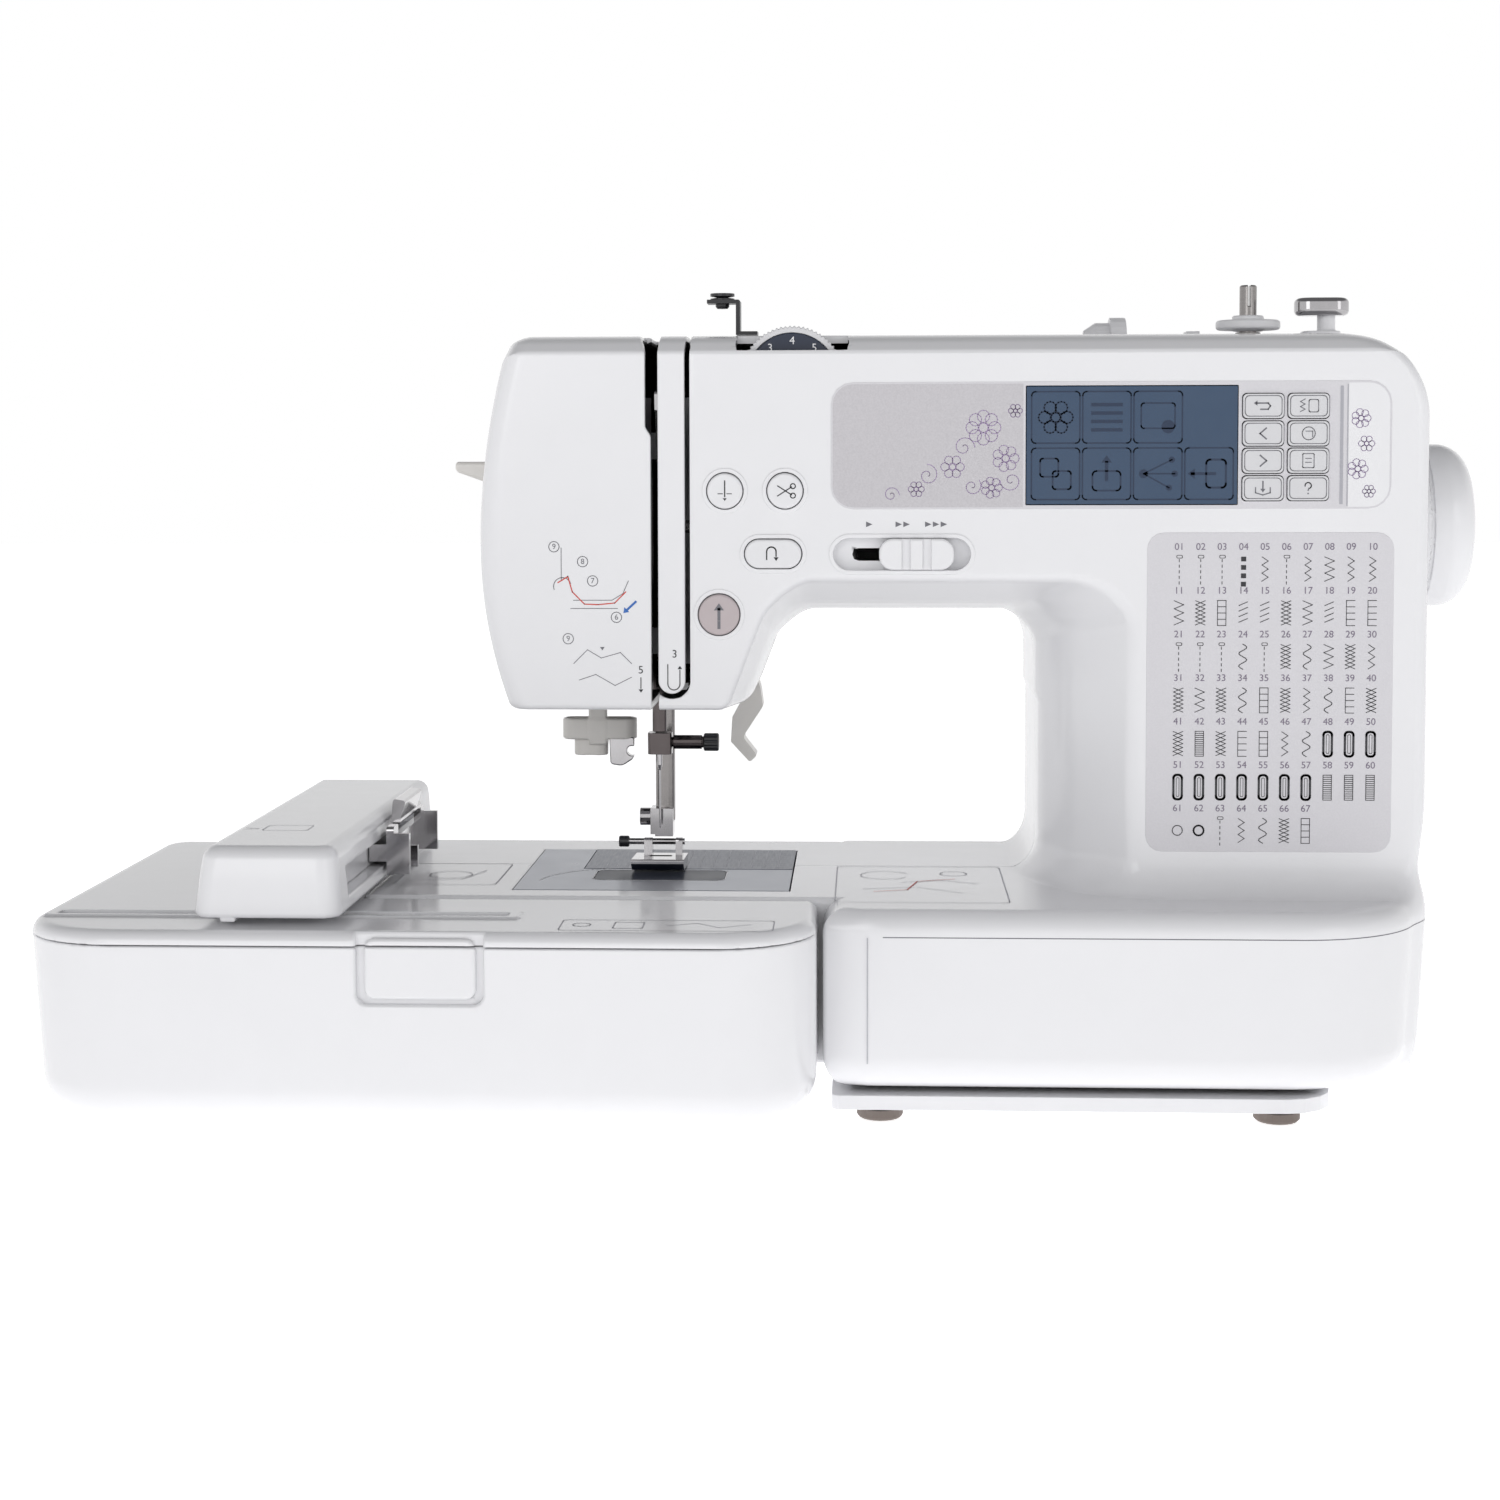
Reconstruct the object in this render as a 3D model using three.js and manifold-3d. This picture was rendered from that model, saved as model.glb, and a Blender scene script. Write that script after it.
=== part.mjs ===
// A computerised sewing and embroidery machine with its embroidery unit in place.
// Units are millimetres and +Z is up. The model is laid out round the needle:
// X = 0, Y = 0 is the middle needle position, Z = 0 is the table, and -Y is the
// operator's side. The last lines move the whole machine so that its origin is
// the bottom centre of its bounding box.
import * as THREE from 'three';
import { mergeVertices } from 'three/addons/utils/BufferGeometryUtils.js';
import Module from 'manifold-3d';

const wasm = await Module();
wasm.setup();

// ---------------------------------------------------------------- driving dimensions
const GAP = 0.3; // clearance between separate pieces
const WALL = 3; // moulded cover thickness
const ARC = 4; // straight steps in each rounded corner

const BED = 75; // working surface above the table
const FRONT = -50; // flat front face of arm, head and column
const BACK = 77;
const SEAM = 8.5; // Y of the joint between front and rear covers
const TOP = 278.5;
const HEAD_LEFT = -64;
const HEAD_BOTTOM = 141;
const ARM_UNDER = 175.5;
const COLUMN_LEFT = 141;
const RIGHT = 278;
const EDGE = 6; // rounding of the long cover edges

const ARM_END = -104; // left end of the free arm
const ARM_FRONT = -64;
const ARM_FLOOR = 15;
const ARM_BACK = 70;
const BASE_LEFT = 62;
const BASE_FRONT = -92;
const BASE_RIGHT = 275;
const BASE_FLOOR = 9.5;

const SHAFT = { y: 5, z: 206.5, r: 5 };
const WHEEL = { r: 30.5, start: 279.6, end: 304 };
const MOTOR = { y: -14, z: 130, r: 24 };
const PULLEY = { x0: 248, x1: 256, big: 25, small: 6 };
const NEEDLE_X = -2;
const NEEDLE_BAR = { r: 2.8, low: 118.5, high: 258 };
const PRESSER = { x: -0.8, y: 11.5, r: 3.8 };
const FOOT_SOLE = 75.9;
const HOOK_Y = -18.6; // centre of the drop-in bobbin, in front of the needle

const UNIT = { left: -212, right: 60, front: -136, back: 66, floor: 4.5, split: 70 };
const CARRIAGE = { x0: -151, x1: -100, y0: -125, y1: 60, z0: 77.5, z1: 101.5 };

const PANEL = { x0: 64.3, x1: 263.9, z0: 213.8, z1: 259.4 };
const LCD = { x0: 134.4, x1: 209.4, z0: 215.5, z1: 257.7 };
const CHART = { x0: 177.6, x1: 265.3, z0: 90.2, z1: 205.4 };
const KEY = { w: 14.4, h: 8.7, columns: [211.2, 227.2], rows: [246.1, 236.3, 226.6, 216.8] };
const SLIDER = { x0: 64.7, x1: 115.1, z0: 191.4, z1: 203.9, knob0: 81.7, knob1: 108.6 };
const DIAL = { x: 50.3, z: 261, r: 19, y0: -45.6, y1: -38 };
const WINDER = { x: 223.2, y: 20 };

// ---------------------------------------------------------------- outlines
function polar(centre, radius, angle) {
  return new THREE.Vector2(
    centre[0] + radius * Math.cos(angle),
    centre[1] + radius * Math.sin(angle),
  );
}

const subtract = (a, b) => [a[0] - b[0], a[1] - b[1]];
const unit = (v) => {
  const length = Math.hypot(v[0], v[1]);
  return [v[0] / length, v[1] / length];
};

// Corners are [x, y, radius]. Each becomes an arc of straight steps.
function rounded(corners, steps = ARC) {
  const points = [];
  const count = corners.length;
  corners.forEach((corner, i) => {
    const [x, y, radius = 0] = corner;
    if (radius <= 0) {
      points.push(new THREE.Vector2(x, y));
      return;
    }
    const before = unit(subtract(corners[(i + count - 1) % count], corner));
    const after = unit(subtract(corners[(i + 1) % count], corner));
    const half = Math.acos(THREE.MathUtils.clamp(before[0] * after[0] + before[1] * after[1], -1, 1)) / 2;
    const reach = radius / Math.tan(half);
    const bisector = unit([before[0] + after[0], before[1] + after[1]]);
    const centre = [x + (bisector[0] * radius) / Math.sin(half), y + (bisector[1] * radius) / Math.sin(half)];
    const start = Math.atan2(y + before[1] * reach - centre[1], x + before[0] * reach - centre[0]);
    const end = Math.atan2(y + after[1] * reach - centre[1], x + after[0] * reach - centre[0]);
    let sweep = end - start;
    if (sweep > Math.PI) sweep -= 2 * Math.PI;
    if (sweep < -Math.PI) sweep += 2 * Math.PI;
    for (let k = 0; k <= steps; k += 1) {
      const angle = start + (sweep * k) / steps;
      points.push(polar(centre, radius, angle));
    }
  });
  return points;
}

// Moves every side of a counter-clockwise outline inwards by d, or outwards when d is negative.
function inset(corners, d) {
  const count = corners.length;
  return corners.map((corner, i) => {
    const p = corners[(i + count - 1) % count];
    const q = corners[(i + 1) % count];
    const a = unit(subtract(corner, p));
    const b = unit(subtract(q, corner));
    const turn = a[0] * b[1] - a[1] * b[0];
    const shift = (1 - (a[0] * b[0] + a[1] * b[1])) / (turn || 1);
    const x = corner[0] + d * (-a[1] - a[0] * shift);
    const y = corner[1] + d * (a[0] - a[1] * shift);
    const radius = corner[2] || 0;
    return [x, y, radius > 0 ? Math.max(turn > 0 ? radius - d : radius + d, 0.4) : 0];
  });
}

const rectangle = (x0, x1, y0, y1, r = 0) => [[x0, y0, r], [x1, y0, r], [x1, y1, r], [x0, y1, r]];

// ---------------------------------------------------------------- solids
function signedVolume(points, triangles) {
  let sum = 0;
  for (let i = 0; i < triangles.length; i += 3) {
    const [a, b, c] = [0, 1, 2].map((k) => new THREE.Vector3().fromArray(points, 3 * triangles[i + k]));
    sum += a.dot(b.cross(c)) / 6;
  }
  return sum;
}

// A closed geometry as a solid whose faces point outwards.
function toSolid(geometry) {
  geometry.deleteAttribute('normal');
  geometry.deleteAttribute('uv');
  const merged = mergeVertices(geometry, 1e-4);
  const points = new Float32Array(merged.attributes.position.array);
  const index = merged.index.array;
  const triangles = [];
  for (let i = 0; i < index.length; i += 3) {
    const [a, b, c] = [index[i], index[i + 1], index[i + 2]];
    if (a !== b && b !== c && c !== a) triangles.push(a, b, c);
  }
  if (signedVolume(points, triangles) < 0) triangles.reverse();
  return new wasm.Manifold(new wasm.Mesh({
    numProp: 3,
    vertProperties: points,
    triVerts: new Uint32Array(triangles),
  }));
}

// Where an outline's two coordinates and its sweep coordinate go in each plane.
const planes = {
  XY: (u, v, w) => [u, v, w],
  XZ: (u, v, w) => [u, w, v],
  YZ: (u, v, w) => [w, u, v],
};

// A closed loft through layers of [outline points, sweep coordinate].
function loft(plane, layers) {
  const count = layers[0][0].length;
  const points = layers.flatMap(([outline, w]) => outline.map((p) => planes[plane](p.x, p.y, w)));
  const triangles = [];
  for (let k = 0; k + 1 < layers.length; k += 1) {
    for (let i = 0; i < count; i += 1) {
      const a = k * count + i;
      const b = k * count + ((i + 1) % count);
      triangles.push(a, b, b + count, a, b + count, a + count);
    }
  }
  const last = (layers.length - 1) * count;
  for (const [a, b, c] of THREE.ShapeUtils.triangulateShape(layers[0][0].map((p) => p.clone()), [])) {
    triangles.push(a, c, b);
  }
  for (const [a, b, c] of THREE.ShapeUtils.triangulateShape(layers.at(-1)[0].map((p) => p.clone()), [])) {
    triangles.push(last + a, last + b, last + c);
  }
  const geometry = new THREE.BufferGeometry();
  geometry.setAttribute('position', new THREE.Float32BufferAttribute(points.flat(), 3));
  geometry.setIndex(triangles);
  return toSolid(geometry);
}

// An outline of [x, y, radius] corners in the plane named, swept from low to high.
// A bevel rounds both ends over that distance.
function side(plane, corners, low, high, bevel = 0, steps = 2) {
  if (bevel <= 0) return extruded(plane, rounded(corners), low, high);
  const layers = [];
  for (let k = 0; k <= steps; k += 1) {
    const angle = (Math.PI / 2) * (k / steps);
    const inwards = bevel * (1 - Math.sin(angle));
    layers.push([rounded(inset(corners, inwards)), bevel * (1 - Math.cos(angle))]);
  }
  const ends = layers.map(([outline, depth]) => [outline, low + depth]);
  const others = layers.map(([outline, depth]) => [outline, high - depth]).reverse();
  return loft(plane, [...ends, ...others]);
}

function extruded(plane, points, low, high) {
  const shape = new THREE.Shape(points);
  const geometry = new THREE.ExtrudeGeometry(shape, { depth: high - low, bevelEnabled: false });
  const p = geometry.attributes.position;
  for (let i = 0; i < p.count; i += 1) {
    p.setXYZ(i, ...planes[plane](p.getX(i), p.getY(i), low + p.getZ(i)));
  }
  return toSolid(geometry);
}

function block(x0, x1, y0, y1, z0, z1) {
  const geometry = new THREE.BoxGeometry(x1 - x0, y1 - y0, z1 - z0);
  geometry.translate((x0 + x1) / 2, (y0 + y1) / 2, (z0 + z1) / 2);
  return toSolid(geometry);
}

// A solid of revolution. The profile is [radius, height] pairs along the axis named.
function turned(axis, centre, profile, sides = 20) {
  const geometry = new THREE.LatheGeometry(profile.map(([r, h]) => new THREE.Vector2(r, h)), sides);
  if (axis === 'Z') geometry.rotateX(Math.PI / 2);
  if (axis === 'X') geometry.rotateZ(-Math.PI / 2);
  geometry.translate(...centre);
  return toSolid(geometry);
}

const rod = (axis, centre, radius, low, high, sides = 20) =>
  turned(axis, centre, [[0, low], [radius, low], [radius, high], [0, high]], sides);

const union = (first, ...rest) => rest.reduce((a, b) => a.add(b), first);
const cut = (first, ...rest) => rest.reduce((a, b) => a.subtract(b), first);

// ---------------------------------------------------------------- the scene
const machine = new THREE.Group();

const finishes = {
  whitePlastic: { color: 0xe9e9ee, roughness: 0.25, metalness: 0 },
  greyPlastic: { color: 0xc9c8cb, roughness: 0.4, metalness: 0 },
  silverPlate: { color: 0xc4c4c8, roughness: 0.4, metalness: 0.3 },
  darkGlass: { color: 0x3e587a, roughness: 0.15, metalness: 0 },
  blackPlastic: { color: 0x1c1d22, roughness: 0.4, metalness: 0 },
  steel: { color: 0x9b9aa0, roughness: 0.25, metalness: 1 },
  castMetal: { color: 0x8a8c90, roughness: 0.6, metalness: 0.9 },
  rubber: { color: 0x75706c, roughness: 0.8, metalness: 0 },
  lamp: { color: 0xcfd8ff, roughness: 0.2, metalness: 0 },
  smokedClear: { color: 0x3c4048, roughness: 0.1, metalness: 0 },
};

function piece(name, solid, finish, place = machine) {
  const { vertProperties, triVerts } = solid.getMesh();
  const geometry = new THREE.BufferGeometry();
  geometry.setAttribute('position', new THREE.BufferAttribute(new Float32Array(vertProperties), 3));
  geometry.setIndex(new THREE.BufferAttribute(new Uint32Array(triVerts), 1));
  const mesh = new THREE.Mesh(geometry, new THREE.MeshStandardMaterial(finishes[finish]));
  mesh.name = name;
  place.add(mesh);
  return mesh;
}

// ---------------------------------------------------------------- covers
const ROOF_RADIUS = 32;

// Head, arm and column seen from the front, counter-clockwise.
const upperOutline = [
  [BASE_RIGHT - 2, 40, 0],
  [RIGHT, 110, 60],
  [RIGHT, TOP, ROOF_RADIUS],
  [-52, TOP, 7],
  [HEAD_LEFT, 205, 90],
  [-51, HEAD_BOTTOM, 7],
  [33.5, HEAD_BOTTOM, 5],
  [49.5, ARM_UNDER, 15],
  [COLUMN_LEFT, ARM_UNDER, 18],
  [COLUMN_LEFT, 40, 0],
];

// The sloped lead-in round the throat: a large mouth at the front face, narrowing
// to the throat itself some way back.
const mouthOutline = [
  [15.5, BED, 0],
  [172.5, BED, 0],
  [172.5, 188.4, 16],
  [39.5, 188.4, 14],
];
const throatOutline = [
  [4.5, BED, 0],
  [COLUMN_LEFT, BED, 0],
  [COLUMN_LEFT, ARM_UNDER, 18],
  [49.5, ARM_UNDER, 15],
];
const THROAT_START = -18;

function leadIn(wall) {
  const layer = (corners, y) => [rounded(inset(corners, -wall)), y];
  return loft('XZ', [
    layer(mouthOutline, FRONT - 1),
    layer(mouthOutline, FRONT + wall / 2),
    layer(throatOutline, THROAT_START + wall),
  ]);
}

// The outside of the machine, or its hollow inside when wall is above zero.
function bodyVolume(wall) {
  const upper = cut(
    side('XZ', inset(upperOutline, wall), FRONT + wall, BACK - wall, EDGE),
    leadIn(wall),
  );
  const freeArm = cut(side('XY', inset([
    [ARM_END, ARM_FRONT, 5],
    [180, ARM_FRONT, 0],
    [180, ARM_BACK, 0],
    [ARM_END, ARM_BACK, 5],
  ], wall), ARM_FLOOR + wall, BED - wall, 1.5));
  const basePlan = side('XY', inset([
    [BASE_LEFT, BASE_FRONT, 3],
    [BASE_RIGHT, BASE_FRONT, 48],
    [BASE_RIGHT, BACK, 12],
    [BASE_LEFT, BACK, 3],
  ], wall), BASE_FLOOR + wall, BED - wall, 0);
  const baseFront = side('XZ', inset([
    [BASE_LEFT, BASE_FLOOR, 2],
    [266, BASE_FLOOR, 24],
    [BASE_RIGHT, BED + 20, 0],
    [BASE_LEFT, BED + 20, 0],
  ], wall), BASE_FRONT - 1, BACK + 1);
  const baseSide = side('YZ', inset([
    [BASE_FRONT, BASE_FLOOR, 8],
    [BACK, BASE_FLOOR, 8],
    [BACK, BED, 2],
    [BASE_FRONT, BED, 9],
  ], wall), BASE_LEFT - 1, BASE_RIGHT + 1);
  return union(upper, freeArm, basePlan.intersect(baseFront).intersect(baseSide));
}

const SLOT = { left: -2.8, narrow: -0.8, neck: 242, middle: 1.8, right: 11.5, end: 13.4, floor: 147 };

// Sockets on the right side: a rectangular pocket for the mains lead's plug.
const INLET = { y0: 37, y1: 53, z0: 88, z1: 100, depth: 14 };
const SWITCH = { y: 45, z: 122, w: 12, h: 18 };

function keyOutline(column, row, grow) {
  const [x, z] = [KEY.columns[column], KEY.rows[row]];
  return rectangle(x - grow, x + KEY.w + grow, z - grow, z + KEY.h + grow, 1.6);
}
const keyPlaces = [0, 1].flatMap((column) => [0, 1, 2, 3].map((row) => [column, row]));

const roundButtons = {
  needle_position_button: { x: 26.1, z: 220.5, r: 6.4, finish: 'whitePlastic' },
  thread_cutter_button: { x: 47.8, z: 220.5, r: 6.4, finish: 'whitePlastic' },
  start_stop_button: { x: 23.9, z: 175.8, r: 7.4, finish: 'greyPlastic' },
};
const REVERSE = { x: 43.5, z: 197.8, w: 20.4, h: 10.4 };
const reverseOutline = (grow) =>
  rectangle(
    REVERSE.x - REVERSE.w / 2 - grow,
    REVERSE.x + REVERSE.w / 2 + grow,
    REVERSE.z - REVERSE.h / 2 - grow,
    REVERSE.z + REVERSE.h / 2 + grow,
    REVERSE.h / 2 + grow - 0.05,
  );
const sliderOutline = (grow) =>
  rectangle(SLIDER.x0 - grow, SLIDER.x1 + grow, SLIDER.z0 - grow, SLIDER.z1 + grow, 6.2 + grow);
const plateOutline = ({ x0, x1, z0, z1 }, radius, grow = 0) =>
  rectangle(x0 - grow, x1 + grow, z0 - grow, z1 + grow, radius + grow);

const PLATE_FACE = FRONT - 0.15;
const PLATE_BACK = FRONT + 0.95;

function operatingHoles() {
  const holes = [
    side('XZ', plateOutline(PANEL, 8, GAP), FRONT - 5, PLATE_BACK + GAP),
    side('XZ', plateOutline(CHART, 6, GAP), FRONT - 5, PLATE_BACK + GAP),
    side('XZ', plateOutline(LCD, 0, GAP), FRONT - 5, FRONT + 6),
    side('XZ', reverseOutline(GAP), FRONT - 5, FRONT + 5),
    side('XZ', sliderOutline(0), FRONT - 5, FRONT + 4),
    block(SLIDER.x0 + 4, SLIDER.x1 - 4, FRONT, FRONT + 8, 196.4, 199.2),
  ];
  for (const { x, z, r } of Object.values(roundButtons)) {
    holes.push(rod('Y', [x, 0, z], r + GAP, FRONT - 5, FRONT + 5));
  }
  for (const [column, row] of keyPlaces) {
    holes.push(side('XZ', keyOutline(column, row, GAP), FRONT - 5, FRONT + 5));
  }
  return holes;
}

function coverCuts() {
  return [
    // needle plate window in the bed
    block(-52.4, 49.4, -50.4, 45.4, BED - 6, BED + 2),
    // open bottom of the base, closed by the tray
    block(72, 234, -78, 66, 0, 20),
    // open bottom of the head for bars and threader
    block(-46, 9, -12, 26, 130, 152),
    // path of the presser foot lifter
    block(17, 60, 28, 44, 128, 164),
    // path of the needle threader lever in the left side
    block(-80, -50, 10.6, 23.4, 183, 233),
    // tension dial slot in the roof
    block(30.3, 70.3, -48.2, -34.4, 271.2, 290),
    // roof holes of the winder spindle and of the spool pin
    rod('Z', [WINDER.x + 2, WINDER.y, 0], 9, 260, 290),
    block(158, 206, 9.6, 34, 265.4, 290),
    // handwheel shaft hole
    rod('X', [0, SHAFT.y, SHAFT.z], SHAFT.r + 1.2, 260, 290),
    // power switch and power inlet
    block(
      268,
      290,
      SWITCH.y - SWITCH.w / 2,
      SWITCH.y + SWITCH.w / 2,
      SWITCH.z - SWITCH.h / 2,
      SWITCH.z + SWITCH.h / 2,
    ),
    block(RIGHT - INLET.depth, 290, INLET.y0, INLET.y1, INLET.z0, INLET.z1),
    // lamp seat under the head
    rod('Z', [18.4, -10, 0], 5 + GAP, 130, 150),
  ];
}

const shell = () => {
  const inletBoss = block(
    RIGHT - INLET.depth - 2.5,
    RIGHT - 1,
    INLET.y0 - 2.5,
    INLET.y1 + 2.5,
    INLET.z0 - 2.5,
    INLET.z1 + 2.5,
  );
  const sliderFloor = block(
    SLIDER.x0 - WALL,
    SLIDER.x1 + WALL,
    FRONT + 1.5,
    FRONT + 6,
    SLIDER.z0 - WALL,
    SLIDER.z1 + WALL,
  );
  const spoolBed = block(155.5, 208.5, SEAM + 0.2, 36.5, 262.8, TOP - 1);
  const cavity = cut(bodyVolume(WALL), inletBoss, sliderFloor, spoolBed);
  return cut(cut(bodyVolume(0), cavity), ...coverCuts(), ...operatingHoles());
};

const whole = shell();
const FAR = 400;
const frontHalf = whole.intersect(block(-FAR, FAR, -FAR, SEAM - GAP / 2, 0, FAR));
const rearHalf = whole.intersect(block(-FAR, FAR, SEAM + GAP / 2, FAR, 0, FAR));
const leftOfSlot = union(
  block(-FAR, SLOT.left, -FAR, FAR, 132, FAR),
  block(-FAR, SLOT.narrow, -FAR, FAR, 132, SLOT.neck),
);
const tongue = (grow) => side('XZ', [
  [SLOT.middle - grow, SLOT.floor - grow, 4.6 + grow],
  [SLOT.right + grow, SLOT.floor - grow, 4.6 + grow],
  [SLOT.right + grow, 300, 0],
  [SLOT.middle - grow, 300, 0],
], -70, FAR);
const slots = union(
  block(-6, SLOT.middle, -FAR, FAR, 132, FAR),
  tongue(1.9),
);
const faceCover = frontHalf.intersect(leftOfSlot);
piece('front_cover', cut(frontHalf, leftOfSlot, slots, block(-FAR, -2, -FAR, FAR, 132, FAR)), 'whitePlastic');
piece('face_cover', faceCover, 'whitePlastic');
piece('thread_slot_strip', frontHalf.intersect(tongue(0)), 'whitePlastic');
piece('rear_cover', rearHalf, 'whitePlastic');

piece('bottom_tray', side('XY', [
  [BASE_LEFT + 3, BASE_FRONT + 6, 3],
  [241, BASE_FRONT + 6, 18],
  [241, BACK - 6, 12],
  [BASE_LEFT + 3, BACK - 6, 3],
], 4.1, BASE_FLOOR - GAP), 'whitePlastic');

const feet = { front_left: [82, -78], front_right: [221, -78], rear_left: [82, 58], rear_right: [221, 58] };
for (const [corner, [x, y]] of Object.entries(feet)) {
  const sole = [[0, 0], [7.2, 0], [8.2, 1], [8.2, 3.8], [0, 3.8]];
  piece(`rubber_foot_${corner}`, turned('Z', [x, y, 0], sole), 'rubber');
}

// ---------------------------------------------------------------- front panel
const keyNames = [
  ['back_key', 'left_arrow_key', 'right_arrow_key', 'enter_key'],
  ['stitch_select_key', 'machine_settings_key', 'stitch_guide_key', 'help_key'],
];

const panelHoles = keyPlaces.map(([c, r]) => side('XZ', keyOutline(c, r, GAP), -60, -40));
piece('control_panel', cut(
  side('XZ', plateOutline(PANEL, 8), PLATE_FACE, PLATE_BACK),
  side('XZ', plateOutline(LCD, 0, GAP), -60, -40),
  ...panelHoles,
), 'silverPlate');
piece('lcd_screen', side('XZ', plateOutline(LCD, 0), FRONT - 0.1, FRONT + 5), 'darkGlass');
piece('stitch_chart_plate', side('XZ', plateOutline(CHART, 6), PLATE_FACE, PLATE_BACK), 'silverPlate');
for (const [column, row] of keyPlaces) {
  piece(keyNames[column][row], side('XZ', keyOutline(column, row, 0), FRONT - 1, FRONT + 5), 'greyPlastic');
}
for (const [name, { x, z, r, finish }] of Object.entries(roundButtons)) {
  piece(name, turned('Y', [x, FRONT, z], [[0, -1.2], [r - 0.8, -1.2], [r, -0.6], [r, 6], [0, 6]]), finish);
}
piece('reverse_button', side('XZ', reverseOutline(0), FRONT - 1.2, FRONT + 6), 'whitePlastic');

piece('speed_slider', union(
  side(
    'XZ',
    rectangle(SLIDER.knob0, SLIDER.knob1, SLIDER.z0 + 0.6, SLIDER.z1 - 0.6, 5),
    FRONT - 2.6,
    FRONT + 3.6,
  ),
  block(91, 99, FRONT + 3, FRONT + 9, 196.8, 198.8),
  block(88, 102, FRONT + 6.6, FRONT + 9, 193.5, 202),
), 'whitePlastic');

// ---------------------------------------------------------------- roof fittings
piece('tension_dial', turned('Y', [DIAL.x, 0, DIAL.z], [
  [0, DIAL.y0 + 1.6],
  [DIAL.r - 2.4, DIAL.y0 + 1.6],
  [DIAL.r - 2.4, DIAL.y0],
  [DIAL.r, DIAL.y0],
  [DIAL.r, DIAL.y1],
  [0, DIAL.y1],
], 32), 'greyPlastic');

piece('thread_guide', union(
  side('XZ', [
    [27.9, TOP + GAP, 0],
    [29.5, TOP + GAP, 0],
    [29.5, 292, 0.8],
    [17, 292, 0],
    [17, 290.6, 0],
    [27.9, 290.6, 0],
  ], -6, 4),
  side('XZ', [[27.9, TOP + GAP, 0], [36, TOP + GAP, 0], [36, TOP + 1.6, 0], [27.9, TOP + 1.6, 0]], -6, 4),
  turned('Z', [22.6, -1, 0], [
    [0, 291.5],
    [4.6, 291.5],
    [4.6, 292.6],
    [2, 293],
    [4.6, 293.4],
    [4.6, 294.5],
    [0, 294.5],
  ]),
  turned('Z', [22.6, -1, 0], [[0, 288.8], [2, 288.8], [2.6, 289.6], [2.6, 291], [0, 291]], 12),
), 'blackPlastic');

piece('spool_pin', union(
  rod('X', [0, 22, 276], 2.6, 176, 200, 12),
  block(199.5, 204.5, 17, 27, 265.7, 280.5),
  turned('X', [0, 22, 276], [
    [0, 160.5],
    [5, 160.5],
    [8, 165],
    [8, 170.4],
    [10, 170.4],
    [10, 176.4],
    [0, 176.4],
  ]),
), 'whitePlastic');
piece('winder_carrier', union(
  turned('Z', [WINDER.x, WINDER.y, 0], [[3.6, 262], [4.8, 262], [4.8, 280], [3.6, 280], [3.6, 262]]),
  cut(
    block(210, 229, WINDER.y - 5, WINDER.y + 5, 262, 266),
    rod('Z', [WINDER.x, WINDER.y, 0], 4.2, 255, 270),
  ),
), 'steel');
piece('winder_spindle', turned('Z', [WINDER.x, WINDER.y, 0], [
  [0, 258],
  [3.25, 258],
  [3.25, 280.4],
  [12.2, 280.8],
  [12.2, 284.6],
  [3.25, 284.9],
  [3.25, 297.4],
  [2.6, 298],
  [0, 298],
]), 'steel');
piece('winder_stop', union(
  rod('Z', [252.9, 20, 0], 3.4, TOP + 1.4, 287),
  side('XY', rectangle(240.8, 261.3, 13.5, 26.5, 2.5), 286.2, 293),
  cut(side('XY', rectangle(243.5, 258, 13, 27, 5), TOP - 4, TOP + 1.8), bodyVolume(-GAP)),
), 'greyPlastic');

// ---------------------------------------------------------------- frame and drive
piece('main_frame', cut(
  union(
    side('XZ', [
      [-95, 22, 4],
      [258, 22, 4],
      [258, 100, 4],
      [238, 120, 4],
      [238, 256, 4],
      [-30, 256, 4],
      [-30, 152, 2],
      [14, 152, 2],
      [44, 190, 6],
      [160, 190, 12],
      [160, 58, 8],
      [46, 58, 0],
      [46, 72, 0],
      [-48, 72, 0],
      [-48, 58, 0],
      [-95, 58, 2],
    ], 24, 29),
    block(30, 42, -4, 24.5, 197, 216),
    block(224, 236, -4, 24.5, 197, 216),
    block(-8, 6, -5, 24.5, 232, 242),
    block(-8, 6, -5, 24.5, 158, 168),
    block(176, 182, -36, 24.5, 112, 148),
  ),
  rod('X', [0, SHAFT.y, SHAFT.z], SHAFT.r + GAP, 20, 240, 16),
  rod('Z', [NEEDLE_X, 0, 0], NEEDLE_BAR.r + GAP, 150, 260, 12),
  rod('Z', [PRESSER.x, PRESSER.y, 0], PRESSER.r + GAP, 150, 260, 12),
  rod('X', [0, MOTOR.y, MOTOR.z], 8, 170, 190, 16),
), 'castMetal');

piece('upper_shaft', union(
  rod('X', [0, SHAFT.y, SHAFT.z], SHAFT.r, 16, WHEEL.start + 6, 16),
  rod('X', [0, SHAFT.y, SHAFT.z], 13, 14, 20, 20),
  rod('X', [0, SHAFT.y - 9, SHAFT.z], 2.4, 8, 15, 12),
  turned('X', [0, SHAFT.y, SHAFT.z], [
    [0, PULLEY.x0 - 1.5],
    [PULLEY.big + 1, PULLEY.x0 - 1.5],
    [PULLEY.big + 1, PULLEY.x0 - 0.3],
    [PULLEY.big, PULLEY.x0],
    [PULLEY.big, PULLEY.x1],
    [0, PULLEY.x1],
  ], 24),
), 'steel');

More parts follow.
